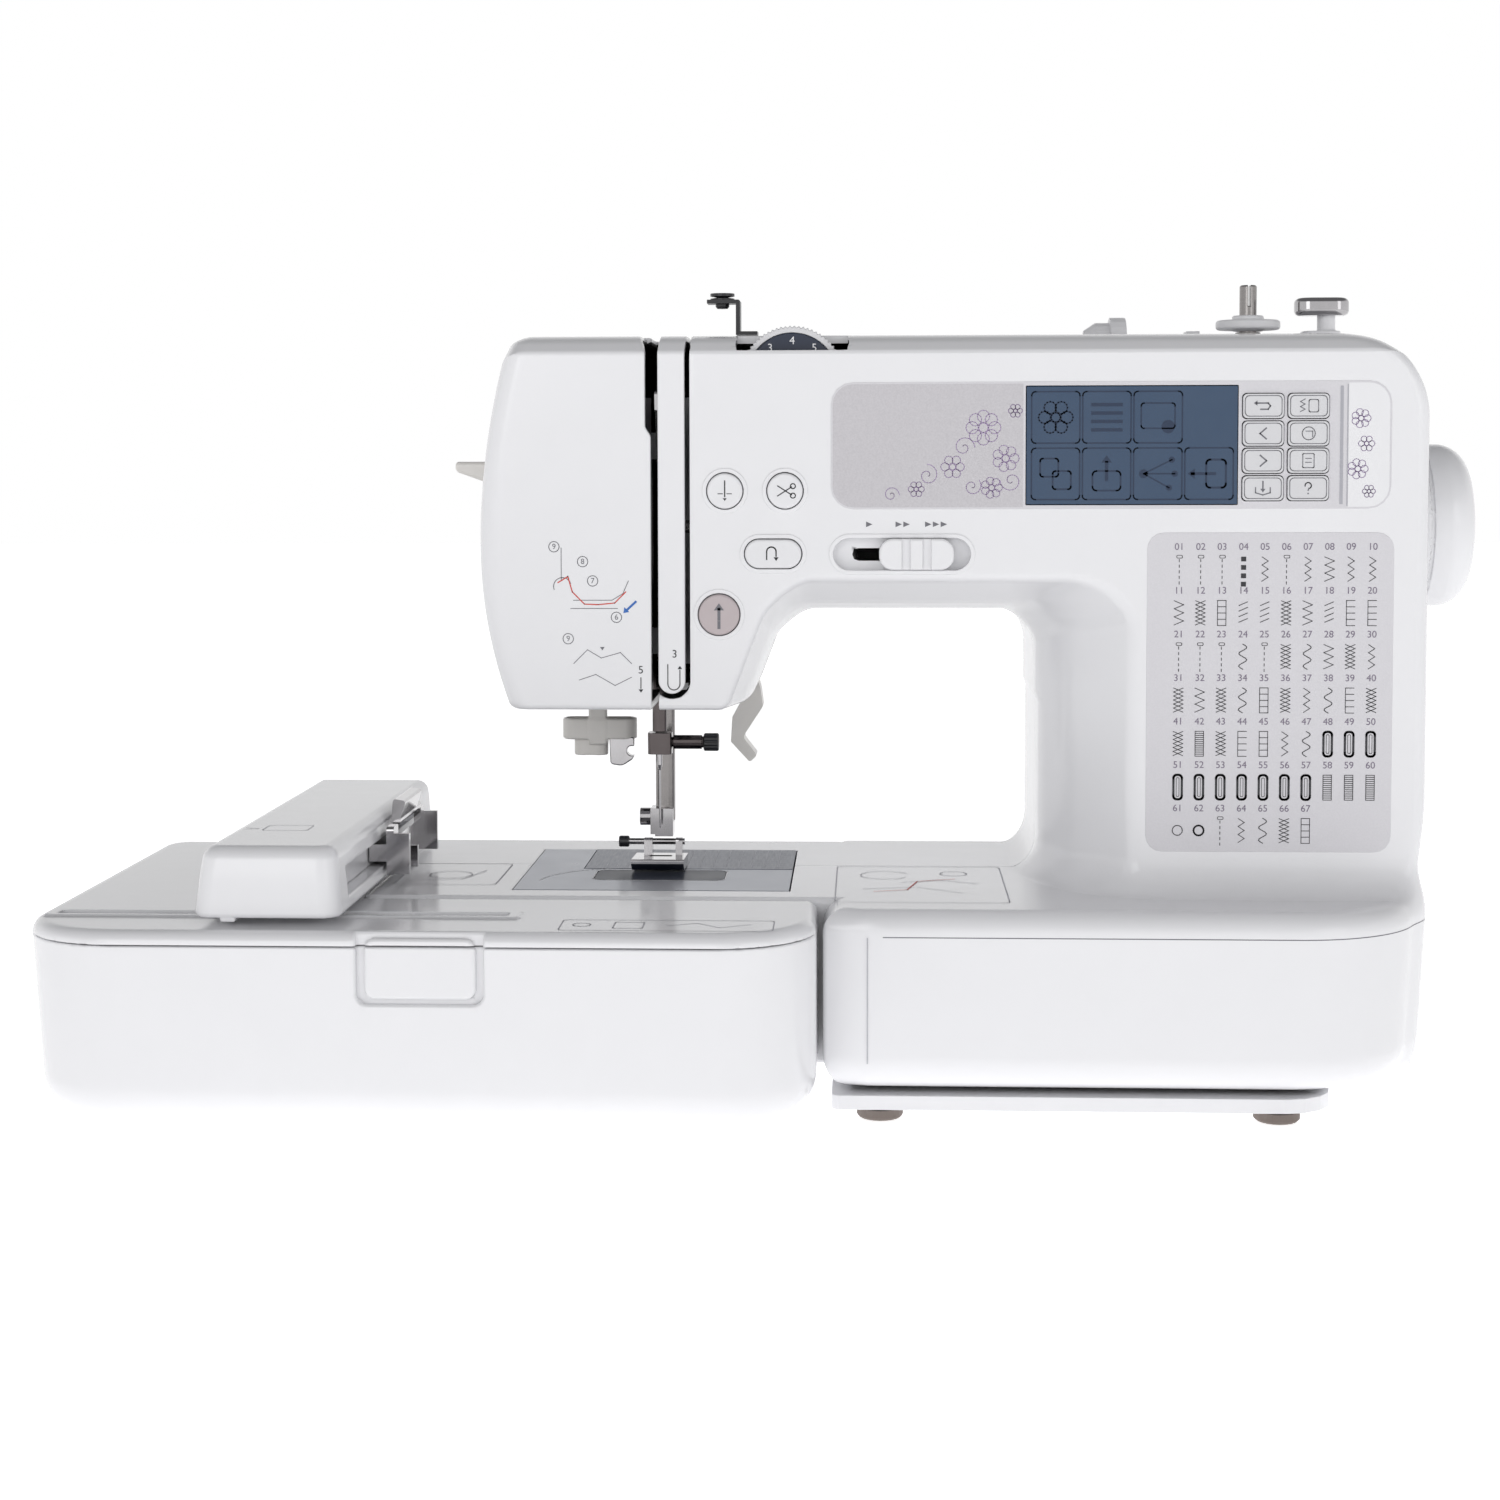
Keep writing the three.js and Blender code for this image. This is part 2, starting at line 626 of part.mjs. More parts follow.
piece('drive_motor', union(
  rod('X', [0, MOTOR.y, MOTOR.z], MOTOR.r, 182.4, 238, 20),
  rod('X', [0, MOTOR.y, MOTOR.z], 9, 238, 243, 16),
  rod('X', [0, MOTOR.y, MOTOR.z], 6, 177, 183, 12),
), 'castMetal');
piece('motor_pulley', rod('X', [0, MOTOR.y, MOTOR.z], PULLEY.small, 243.6, PULLEY.x1 + 1, 16), 'steel');

// The belt runs round both pulleys on the outer tangents.
function beltOutline(thickness) {
  const points = [];
  const ends = [
    { y: SHAFT.y, z: SHAFT.z, r: PULLEY.big + GAP + thickness },
    { y: MOTOR.y, z: MOTOR.z, r: PULLEY.small + GAP + thickness },
  ];
  const distance = Math.hypot(ends[0].y - ends[1].y, ends[0].z - ends[1].z);
  const along = Math.atan2(ends[0].z - ends[1].z, ends[0].y - ends[1].y);
  const lean = Math.acos((ends[0].r - ends[1].r) / distance);
  const steps = 12;
  for (let k = 0; k <= steps; k += 1) {
    const angle = along - Math.PI + lean + ((2 * Math.PI - 2 * lean) * k) / steps;
    points.push(polar([ends[0].y, ends[0].z], ends[0].r, angle));
  }
  for (let k = 0; k <= steps; k += 1) {
    const angle = along + Math.PI - lean + ((2 * lean) * k) / steps;
    points.push(polar([ends[1].y, ends[1].z], ends[1].r, angle));
  }
  return points;
}
piece('drive_belt', cut(
  extruded('YZ', beltOutline(2), PULLEY.x0 + 0.5, PULLEY.x1 - 0.5),
  extruded('YZ', beltOutline(0), PULLEY.x0 - 5, PULLEY.x1 + 5),
), 'blackPlastic');

piece('handwheel', turned('X', [0, SHAFT.y, SHAFT.z], [
  [SHAFT.r + GAP, WHEEL.start + 1],
  [WHEEL.r - 4, WHEEL.start + 1],
  [WHEEL.r, WHEEL.start],
  [WHEEL.r, WHEEL.start + 12],
  [WHEEL.r - 1.6, WHEEL.end - 8],
  [WHEEL.r - 5.5, WHEEL.end - 3.2],
  [WHEEL.r - 13, WHEEL.end - 0.8],
  [0, WHEEL.end],
  [0, WHEEL.start + 7],
  [SHAFT.r + GAP, WHEEL.start + 7],
  [SHAFT.r + GAP, WHEEL.start + 1],
], 28), 'whitePlastic');

// ---------------------------------------------------------------- needle side
piece('needle_bar', rod('Z', [NEEDLE_X, 0, 0], NEEDLE_BAR.r, 127.9, NEEDLE_BAR.high, 16), 'steel');
piece('needle_clamp', cut(
  side('XY', rectangle(NEEDLE_X - 4.4, NEEDLE_X + 4.8, -4.4, 4.2, 2), 119.4, 127.6),
  rod('X', [0, 0, 123.8], 1.9 + GAP, -1, 12, 12),
  rod('Z', [NEEDLE_X, 0, 0], 1.3, 110, 124, 12),
), 'steel');
piece('needle_clamp_screw', union(
  rod('X', [0, 0, 123.8], 1.9, -0.6, 4, 12),
  rod('X', [0, 0, 123.8], 2.7, 3.3, 14.2, 16),
  turned('X', [0, 0, 123.8], [
    [0, 14],
    [2.2, 14],
    [2.2, 14.8],
    [3.2, 15.4],
    [3.2, 19.6],
    [2.2, 20.8],
    [0, 20.8],
  ], 12),
), 'blackPlastic');
piece('needle', turned('Z', [NEEDLE_X, 0, 0], [
  [0, 90.4],
  [0.25, 91.2],
  [0.42, 94],
  [0.42, 113],
  [0.95, 115],
  [0.95, 123],
  [0, 123],
], 12), 'steel');

piece('take_up_lever', union(
  rod('X', [0, -16, 222], 5, -0.5, 3, 14),
  side('YZ', [
    [-20, 220, 1],
    [-12.5, 220, 1],
    [-28, 250, 2],
    [-31, 257.5, 1],
    [-36, 256.5, 1],
    [-35, 250, 2],
  ], -0.5, 0.9),
), 'steel');

piece('needle_threader', union(
  block(-31, -24, 14, 20, 121, 236),
  side('XZ', [
    [-82.3, 231.2, 1.5],
    [-82.3, 227.6, 1.5],
    [-73, 222, 8],
    [-64, 220.9, 0],
    [-24, 222.5, 0],
    [-24, 231.2, 0],
  ], 13.2, 20.8),
  side('XZ', [[-41.5, 124, 3], [-12.5, 122, 3], [-12.5, 131, 1], [-41.5, 131.5, 1]], 14, 24),
  side('XZ', [[-37, 116.5, 2], [-22, 116.5, 2], [-22, 124.5, 0], [-37, 124.5, 0]], 16, 23),
  side('XZ', [[-23, 112.4, 1], [-13.5, 113.5, 1], [-13, 123, 0], [-23, 123, 0]], 14.5, 20),
), 'greyPlastic');

piece('presser_bar', rod('Z', [PRESSER.x, PRESSER.y, 0], PRESSER.r, 92.2, 250, 16), 'steel');
piece('presser_ankle', union(
  block(-4.4, 2.6, 4.6, 7.4, 88.6, 97.4),
  block(-4.4, 2.6, 4.6, 15, 86.6, 91.9),
  block(-6.2, -4.9, 4.6, 15, 87.4, 97.4),
  block(-6.2, -4, 4.6, 7.4, 87.4, 97.4),
  block(-6.2, -4, 4.6, 15, 87.4, 91.9),
  rod('X', [0, PRESSER.y, 93.4], 3.4, -10.6, -5.5, 16),
), 'steel');
const footSole = [
  [-14, FOOT_SOLE + 2.6, 0.8],
  [-10, FOOT_SOLE, 2],
  [7.2, FOOT_SOLE, 1],
  [11, FOOT_SOLE + 1.6, 0.6],
  [11, FOOT_SOLE + 3.4, 0.6],
  [-14, FOOT_SOLE + 4.6, 0.6],
];
const footCheek = [
  [3.2, FOOT_SOLE + 2, 0],
  [10, FOOT_SOLE + 2, 0],
  [8.6, FOOT_SOLE + 10, 1.4],
  [4.6, FOOT_SOLE + 10, 1.4],
];
piece('presser_foot', cut(
  union(
    side('YZ', footSole, -12, 8),
    side('YZ', footCheek, -8.6, -5.4),
    side('YZ', footCheek, 3.6, 6.2),
    rod('X', [0, 6.6, 84.4], 1.2, -17.8, 7, 12),
    rod('X', [0, 6.6, 84.4], 2, -18.4, -14.6, 12),
  ),
  block(-6, 2.5, -2.2, 2.2, 70, 95),
), 'steel');

piece('presser_lifter', union(
  side('XZ', [
    [25, 158, 2],
    [21, 154, 2],
    [30, 141, 2],
    [24.2, 130.4, 2],
    [23.6, 120.6, 1],
    [31.1, 112.4, 1],
    [34, 115.2, 1],
    [28.4, 122.4, 2],
    [36.4, 134.6, 2],
    [35.4, 142, 2],
    [29, 160, 2],
  ], 30, 42),
  rod('Y', [25, 0, 158.5], 5, 30, 42, 16),
), 'greyPlastic');
piece('led_lamp', turned('Z', [18.4, -10, 0], [
  [0, 138.2],
  [3, 138.7],
  [4.6, 140.2],
  [5, 142],
  [5, 147],
  [0, 147],
], 16), 'lamp');

// ---------------------------------------------------------------- bed fittings
const feedSlots = [-5.2, -1.2, 2.6];
piece('needle_plate', cut(
  block(-31, 49, -2.4, 45, 72.4, BED + 0.2),
  side('XY', rectangle(-6, 2, -1.4, 1.4, 1.3), 70, 80),
  ...feedSlots.map((x) => block(x, x + 2.4, 4, 24, 70, 80)),
), 'steel');
piece('plate_cover', cut(
  block(-52, 49, -50, 45, 72.4, BED + 0.1),
  block(-31 - GAP, 60, -2.4 - GAP, 50, 70, 80),
  side('XY', rectangle(-25.3, 24.3, -28.3, -5.2, 4.3), 70, 80),
), 'silverPlate');
piece('bobbin_cover', side('XY', rectangle(-25, 24, -28, -5.5, 4), 72.6, BED + 0.1), 'smokedClear');
piece('bobbin_case', cut(
  rod('Z', [0, HOOK_Y, 0], 17.4, 50, 70, 24),
  rod('Z', [0, HOOK_Y, 0], 12, 53, 75, 24),
), 'blackPlastic');
piece('bobbin', turned('Z', [0, HOOK_Y, 0], [
  [3.2, 54],
  [10.2, 54],
  [10.2, 55.2],
  [4.6, 55.6],
  [4.6, 64.4],
  [10.2, 64.8],
  [10.2, 66],
  [3.2, 66],
  [3.2, 54],
], 20), 'smokedClear');
piece('feed_dog', union(
  block(-6, 6, 4.6, 21, 66, 69.5),
  ...feedSlots.map((x) => block(x + 0.5, x + 1.9, 7, 20.6, 69, 74.2)),
), 'steel');

// ---------------------------------------------------------------- right side
const switchPivot = new THREE.Group();
switchPivot.position.set(RIGHT - 1, SWITCH.y, SWITCH.z);
switchPivot.rotation.y = THREE.MathUtils.degToRad(5);
machine.add(switchPivot);
piece('power_switch', side('XZ', [
  [-4, -7.6, 1],
  [2, -8, 1],
  [1.2, 0, 0],
  [2, 8, 1],
  [-4, 7.6, 1],
], -5.4, 5.4), 'blackPlastic', switchPivot);

// ---------------------------------------------------------------- embroidery unit
const CARRIAGE_SLOT = { x0: -203, x1: -46, y0: -104.4, y1: -98.6 };

function unitVolume(wall) {
  const plan = side('XY', inset([
    [UNIT.left, UNIT.front, 36],
    [UNIT.right, UNIT.front, 34],
    [UNIT.right, ARM_FRONT - GAP - 0.3, 0],
    [ARM_END - GAP - 0.3, ARM_FRONT - GAP - 0.3, 0],
    [ARM_END - GAP - 0.3, UNIT.back, 3],
    [UNIT.left, UNIT.back, 12],
  ], wall), UNIT.floor + wall, BED - 0.2 - wall);
  const seenFromFront = side('XZ', inset([
    [UNIT.left + 4, UNIT.floor, 22],
    [UNIT.right, UNIT.floor, 6],
    [UNIT.right, BED - 0.2, 2],
    [UNIT.left, BED - 0.2, 8],
  ], wall), UNIT.front - 1, UNIT.back + 1);
  const seenFromSide = side('YZ', inset([
    [UNIT.front + 2, UNIT.floor, 18],
    [UNIT.back, UNIT.floor, 8],
    [UNIT.back, BED - 0.2, 2],
    [UNIT.front, BED - 0.2, 9],
  ], wall), UNIT.left - 1, UNIT.right + 1);
  const gripOutline = rectangle(-93 - wall, -50 + wall, 50.5 - wall, 120, 4);
  const grip = side('XZ', gripOutline, -FAR, UNIT.front + 3.4 + wall);
  return cut(plan.intersect(seenFromFront).intersect(seenFromSide), grip);
}

const unitShell = cut(unitVolume(0), unitVolume(WALL));
const unitFeet = [[-160, -100], [16, -104], [-160, 44]];
piece('unit_top_cover', cut(
  unitShell.intersect(block(-FAR, FAR, -FAR, FAR, UNIT.split + GAP / 2, FAR)),
  block(CARRIAGE_SLOT.x0, CARRIAGE_SLOT.x1, CARRIAGE_SLOT.y0, CARRIAGE_SLOT.y1, 60, 90),
), 'whitePlastic');
piece('unit_lower_cover', union(
  unitShell.intersect(block(-FAR, FAR, -FAR, FAR, 0, UNIT.split - GAP / 2)),
  ...unitFeet.map(([x, y]) => turned('Z', [x, y, 0], [[0, 0], [6.2, 0], [7.4, 1.2], [7.4, 6], [0, 6]])),
), 'whitePlastic');

const C = CARRIAGE;
const carriageOutline = (wall) => inset([
  [C.x0, C.z0, 1],
  [C.x1, C.z0, 1],
  [C.x1 - 2, C.z1, 4],
  [C.x0 + 3, C.z1, 4],
], wall);
piece('carriage', cut(
  union(
    cut(
      side('XZ', carriageOutline(0), C.y0, C.y1, 2.5),
      side('XZ', carriageOutline(2.5), C.y0 + 3, C.y1 - 3),
      block(C.x0 + 3, C.x1 - 3, C.y0 + 3, C.y1 - 3, C.z0 - 1, C.z0 + 4),
    ),
    block(C.x0 + 8, C.x1 - 8, CARRIAGE_SLOT.y0 + 1, CARRIAGE_SLOT.y1 - 1, 60, C.z1 - 1),
  ),
  block(C.x1 - 6, C.x1 + 2, -107, 32, 82.6, 92.6),
), 'whitePlastic');

piece('frame_holder', union(
  side('YZ', [
    [-47, 79.6, 0],
    [15, 79.6, 0],
    [15, 97.4, 1.5],
    [9, 97.4, 1],
    [9, 93, 0],
    [-38, 93, 0],
    [-38, 97.4, 1],
    [-47, 97.4, 1.5],
  ], -99, -96.2),
  block(-105.6, -98.5, -46, 14, 84.4, 90.8),
  block(-97, -90.5, -47, -44.6, 80, 95),
  block(-97, -90.5, 12.6, 15, 80, 95),
  block(-97, -90.5, -30, -27.6, 80, 88),
), 'steel');
piece('frame_lever', union(
  rod('Y', [-97.6, 0, 98.2], 2, -36.5, 7, 14),
  side('XZ', [[-99.2, 98, 0], [-96, 98, 0], [-93.6, 105.6, 1], [-98.4, 106.4, 1]], -36.5, -2),
), 'steel');

// ---------------------------------------------------------------- placement
const box = new THREE.Box3().setFromObject(machine);
machine.position.set(-(box.min.x + box.max.x) / 2, -(box.min.y + box.max.y) / 2, -box.min.z);

export default machine;
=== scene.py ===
"""A computerised sewing and embroidery machine, detailed over its CAD frame.

Lengths are in millimetres and places are measured from the needle: X = 0 is the
middle needle position, Y = 0 the line of the needle bar with -Y towards the
operator, and Z = 0 the table. to_row() turns them into the frame's metres.
"""

import itertools
import math

import bpy
import numpy as np
from mathutils import Matrix, Vector


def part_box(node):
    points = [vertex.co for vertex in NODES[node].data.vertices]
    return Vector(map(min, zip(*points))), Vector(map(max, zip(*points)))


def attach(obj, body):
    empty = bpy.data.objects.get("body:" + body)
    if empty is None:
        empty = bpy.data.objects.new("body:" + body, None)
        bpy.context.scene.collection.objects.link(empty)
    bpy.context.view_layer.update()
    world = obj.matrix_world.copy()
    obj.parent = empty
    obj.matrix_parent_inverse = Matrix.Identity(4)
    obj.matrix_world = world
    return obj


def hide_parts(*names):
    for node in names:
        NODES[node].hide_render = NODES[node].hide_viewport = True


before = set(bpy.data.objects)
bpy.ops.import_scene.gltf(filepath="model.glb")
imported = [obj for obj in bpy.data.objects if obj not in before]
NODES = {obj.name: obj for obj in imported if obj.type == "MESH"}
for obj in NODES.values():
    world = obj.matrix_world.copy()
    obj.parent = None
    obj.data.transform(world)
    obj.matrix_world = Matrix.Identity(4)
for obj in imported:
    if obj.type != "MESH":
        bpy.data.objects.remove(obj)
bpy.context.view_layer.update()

# ---- the frame in mm
NEEDLE_X = -2.0  # the needle stands left of the middle position
needle_low, needle_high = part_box("needle")
ORIGIN = np.array([
    (needle_low.x + needle_high.x) * 500 - NEEDLE_X,
    (needle_low.y + needle_high.y) * 500,
    0.0,
])


def to_row(points):
    return (np.asarray(points, float) + ORIGIN) / 1000


def span(node):
    """Lowest and highest corner of a CAD node, in millimetres from the needle."""
    low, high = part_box(node)
    return np.array(low) * 1000 - ORIGIN, np.array(high) * 1000 - ORIGIN


front_low, front_high = span("front_cover")
rear_low, rear_high = span("rear_cover")
face_low = span("face_cover")[0]
strip_low, strip_high = span("thread_slot_strip")
FRONT = face_low[1]
BACK = rear_high[1]
TOP = rear_high[2]
RIGHT = rear_high[0]
BASE_FRONT = front_low[1]
BASE_FLOOR = front_low[2]
ARM_END = front_low[0]
HEAD_BOTTOM = face_low[2]
SEAM = (front_high[1] + rear_low[1]) / 2
BED = span("plate_cover")[1][2] - 0.1
GAP = 0.3
WALL = 3.0
SKIN_DEPTH = 4.2  # the covers are shown a little thicker than they are, on their hidden side


# ---- distance fields
# A solid is a function that is negative inside it and grows by one for each
# millimetre outside. The operators round the edge that they make to radius r.
def both(a, b, r=0.0):
    outside = np.hypot(np.maximum(a + r, 0), np.maximum(b + r, 0))
    return np.minimum(np.maximum(a, b), -r) + outside


def either(a, b, r=0.0):
    return -both(-a, -b, r)


def less(a, b, r=0.0):
    return both(a, -b, r)


def all_of(r, *parts):
    result = parts[0]
    for part in parts[1:]:
        result = both(result, part, r)
    return result


def any_of(r, *parts):
    result = parts[0]
    for part in parts[1:]:
        result = either(result, part, r)
    return result


def panel(u, v, box, r):
    """A rectangle with round corners in the plane of u and v; box is u0, u1, v0, v1."""
    a = np.abs(u - (box[0] + box[1]) / 2) - (box[1] - box[0]) / 2 + r
    b = np.abs(v - (box[2] + box[3]) / 2) - (box[3] - box[2]) / 2 + r
    return both(a, b) - r


def around(u, v, middle):
    return np.hypot(u - middle[0], v - middle[1])


def between(v, low, high):
    return np.abs(v - (low + high) / 2) - (high - low) / 2


def brick(x, y, z, box, r=0.0):
    flat = both(between(x, box[0], box[1]), between(y, box[2], box[3]), r)
    return both(flat, between(z, box[4], box[5]), r)


def edge(u, v, start, end):
    """Distance from the line through start and end, positive on its right."""
    du, dv = end[0] - start[0], end[1] - start[1]
    return ((u - start[0]) * dv - (v - start[1]) * du) / math.hypot(du, dv)


def outline(u, v, corners, r=0.0):
    """A convex polygon, its corners given counter-clockwise."""
    sides = [edge(u, v, a, b) for a, b in zip(corners, corners[1:] + corners[:1])]
    return all_of(r, *sides)


def ramp(v, start, end):
    """Smoothly 0 at start and 1 at end."""
    t = np.clip((v - start) / (end - start), 0, 1)
    return t * t * (3 - 2 * t)


# ---- skins of fields
CELLS = 8


def sample(field, low, counts, step):
    """The field on a grid, worked out only in the blocks near its surface."""
    blocks = (counts - 1) // CELLS
    half = step * CELLS / 2
    middles = [low[a] + half + step * CELLS * np.arange(blocks[a]) for a in range(3)]
    rough = field(*np.meshgrid(*middles, indexing="ij"))
    signs = np.where(rough < 0, -1, 1).astype(np.float32)
    values = np.ones(counts, np.float32)
    values[:-1, :-1, :-1] = signs.repeat(CELLS, 0).repeat(CELLS, 1).repeat(CELLS, 2)
    ticks = np.arange(CELLS + 1)
    inner = np.stack(np.meshgrid(ticks, ticks, ticks, indexing="ij"), -1).reshape(-1, 3)
    near = np.argwhere(np.abs(rough) < half * 1.8)
    batch = 1500
    for start in range(0, len(near), batch):
        nodes = near[start:start + batch, None] * CELLS + inner
        at = low + nodes * step
        found = field(at[..., 0], at[..., 1], at[..., 2])
        values[nodes[..., 0], nodes[..., 1], nodes[..., 2]] = found
    return values


def gradient(field, at, h=0.02):
    slopes = []
    for axis in range(3):
        shift = np.zeros(3)
        shift[axis] = h
        slopes.append(field(*(at + shift).T) - field(*(at - shift).T))
    slopes = np.stack(slopes, -1)
    return slopes / np.maximum(np.linalg.norm(slopes, axis=-1, keepdims=True), 1e-9)


def contour(field, low, high, step):
    """Vertices, quads and corner normals of the field's surface, keeping its edges."""
    low = np.asarray(low, float) - 1.4 * step
    counts = np.ceil((np.asarray(high) + 1.4 * step - low) / (step * CELLS)).astype(int)
    counts = counts * CELLS + 1
    values = sample(field, low, counts, step)
    inside = values < 0
    filled = np.zeros(counts - 1, np.int8)
    for corner in itertools.product((0, 1), repeat=3):
        part = tuple(slice(c, n - 1 + c) for c, n in zip(corner, counts))
        filled += inside[part]
    cells = np.argwhere((filled > 0) & (filled < 8))
    index = np.full(counts - 1, -1, np.int32)
    index[tuple(cells.T)] = np.arange(len(cells))
    quads, owners, places, normals = [], [], [], []
    for axis in range(3):
        unit = np.eye(3, dtype=int)[axis]
        first = [slice(None)] * 3
        second = [slice(None)] * 3
        first[axis] = slice(0, -1)
        second[axis] = slice(1, None)
        starts = np.argwhere(inside[tuple(first)] != inside[tuple(second)])
        a = values[tuple(starts.T)].astype(float)
        b = values[tuple((starts + unit).T)].astype(float)
        place = low + (starts + (a / (a - b))[:, None] * unit) * step
        normal = gradient(field, place)
        u, v = (axis + 1) % 3, (axis + 2) % 3
        ring = []
        for du, dv in ((0, 0), (-1, 0), (-1, -1), (0, -1)):
            cell = starts.copy()
            cell[:, u] += du
            cell[:, v] += dv
            ring.append(index[tuple(cell.T)])
            owners.append(ring[-1])
            places.append(place)
            normals.append(normal)
        ring = np.stack(ring, 1)
        ring[a > 0] = ring[a > 0][:, ::-1]
        quads.append(ring)
    quads = np.concatenate(quads)
    owners = np.concatenate(owners)
    places = np.concatenate(places)
    normals = np.concatenate(normals)
    total = len(cells)

    def gather(weights):
        return np.bincount(owners, weights, total)

    number = gather(np.ones(len(owners)))
    mean = np.stack([gather(places[:, k]) for k in range(3)], 1) / number[:, None]
    offset = (normals * (places - mean[owners])).sum(1)
    right = np.stack([gather(offset * normals[:, k]) for k in range(3)], 1)
    matrix = np.zeros((total, 3, 3))
    for i in range(3):
        for k in range(3):
            matrix[:, i, k] = gather(normals[:, i] * normals[:, k])
    matrix += 0.06 * np.eye(3)
    move = np.linalg.solve(matrix, right[..., None])[..., 0]
    vertices = mean + np.clip(move, -step, step)
    floor = low + cells * step
    vertices = np.clip(vertices, floor - 0.05 * step, floor + 1.05 * step)
    summed = np.stack([gather(normals[:, k]) for k in range(3)], 1) / number[:, None]
    smooth = np.linalg.norm(summed, axis=1) > 0.975
    at_vertex = gradient(field, vertices)
    corners = at_vertex[quads]
    middle = vertices[quads].mean(1, keepdims=True)
    sharp = ~smooth[quads]
    inward = vertices[quads] + 0.35 * (middle - vertices[quads])
    corners[sharp] = gradient(field, inward[sharp])
    return vertices, quads, corners


def add_object(name, data):
    obj = bpy.data.objects.new(name, data)
    bpy.context.scene.collection.objects.link(obj)
    return obj


def mesh_from(name, vertices, faces, normals=None):
    """An object from millimetre vertices and equal-sided faces given as an array."""
    mesh = bpy.data.meshes.new(name)
    faces = np.asarray(faces, np.int32)
    count, sides = faces.shape
    mesh.vertices.add(len(vertices))
    mesh.vertices.foreach_set("co", to_row(vertices).astype(np.float32).ravel())
    mesh.loops.add(count * sides)
    mesh.loops.foreach_set("vertex_index", faces.ravel())
    mesh.polygons.add(count)
    mesh.polygons.foreach_set("loop_start", np.arange(0, count * sides, sides, dtype=np.int32))
    mesh.polygons.foreach_set("use_smooth", np.ones(count, bool))
    mesh.update(calc_edges=True)
    if normals is not None:
        mesh.normals_split_custom_set(normals.reshape(-1, 3).astype(np.float32))
    return add_object(name, mesh)


def finish_piece(obj, body, material, replaced=()):
    obj.data.materials.append(material)
    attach(obj, body)
    if replaced:
        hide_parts(*replaced)
    return obj


def skin(name, field, low, high, step, body, slot, material, replaced=()):
    vertices, quads, normals = contour(field, low, high, step)
    obj = mesh_from(name, vertices, quads, normals)
    return finish_piece(obj, body, material, replaced)


# ---- materials
def socket(material, name):
    return material.node_tree.nodes["Principled BSDF"].inputs[name]


def new_material(name, color, roughness, metallic=0.0):
    material = bpy.data.materials.new(name)
    material.use_nodes = True
    socket(material, "Base Color").default_value = (*color, 1)
    socket(material, "Roughness").default_value = roughness
    socket(material, "Metallic").default_value = metallic
    return material


def grain(material, scale, detail, stretch):
    """Noise laid on the object's own coordinates."""
    nodes, links = material.node_tree.nodes, material.node_tree.links
    place = nodes.new("ShaderNodeTexCoord")
    mapping = nodes.new("ShaderNodeMapping")
    mapping.inputs["Scale"].default_value = stretch
    noise = nodes.new("ShaderNodeTexNoise")
    noise.inputs["Scale"].default_value = scale
    noise.inputs["Detail"].default_value = detail
    links.new(place.outputs["Object"], mapping.inputs["Vector"])
    links.new(mapping.outputs["Vector"], noise.inputs["Vector"])
    return noise


def speckle(material, scale, low, high, roughness_low, roughness_high, stretch=(1, 1, 1)):
    """Varies the base colour and the roughness with the same fine noise."""
    nodes, links = material.node_tree.nodes, material.node_tree.links
    noise = grain(material, scale, 4.0, stretch)
    colors = nodes.new("ShaderNodeValToRGB")
    for stop, position, color in zip(colors.color_ramp.elements, (0.3, 0.7), (low, high)):
        stop.position = position
        stop.color = (*color, 1)
    links.new(noise.outputs["Fac"], colors.inputs["Fac"])
    links.new(colors.outputs["Color"], socket(material, "Base Color"))
    spread = nodes.new("ShaderNodeMapRange")
    spread.inputs["To Min"].default_value = roughness_low
    spread.inputs["To Max"].default_value = roughness_high
    links.new(noise.outputs["Fac"], spread.inputs["Value"])
    links.new(spread.outputs["Result"], socket(material, "Roughness"))


def texture_bump(material, scale, height_mm, stretch=(1, 1, 1)):
    nodes, links = material.node_tree.nodes, material.node_tree.links
    noise = grain(material, scale, 2.0, stretch)
    bump = nodes.new("ShaderNodeBump")
    bump.inputs["Strength"].default_value = 1.0
    bump.inputs["Distance"].default_value = height_mm / 1000
    links.new(noise.outputs["Fac"], bump.inputs["Height"])
    links.new(bump.outputs["Normal"], socket(material, "Normal"))


def plastic(name, color, roughness, spread=0.02, bump=0.004, coat=0.0):
    material = new_material(name, color, roughness)
    low = tuple(max(c - spread, 0) for c in color)
    speckle(material, 60, low, color, roughness * 0.8, roughness * 1.2)
    texture_bump(material, 300, bump)
    if coat:
        socket(material, "Coat Weight").default_value = coat
    return material


def metal(name, color, roughness, stretch=(1, 1, 1), bump=0.003):
    material = new_material(name, color, roughness, 1.0)
    low = tuple(c * 0.86 for c in color)
    speckle(material, 120, low, color, roughness * 0.7, roughness * 1.4, stretch)
    texture_bump(material, 500, bump, stretch)
    return material


WHITE = plastic("gloss_white", (0.80, 0.80, 0.82), 0.16, spread=0.008, bump=0.002)
# painted shade: near-black colour laid on the hidden inside of the covers for the darkness in there
PAINTED_SHADE_INSIDE = plastic("painted_shade_inside", (0.012, 0.012, 0.014), 0.6)

# ---- body shape
LIP = 270.5  # top of the flat front face; the roof slopes up behind it
ROOF_RADIUS = 32
ARM_UNDER = 175.5
COLUMN_LEFT = 141.0
MOUTH_DEPTH = 32.0
BASE_LEFT = 62.0
FREE_ARM = (ARM_END, 180.0, -64.0, 70.0, 15.0, BED)


HEAD_LEFT = -63.9
HEAD_WAIST = 200.0  # height at which the head is widest
UPPER_CURVE, LOWER_CURVE = 0.00190, 0.0031


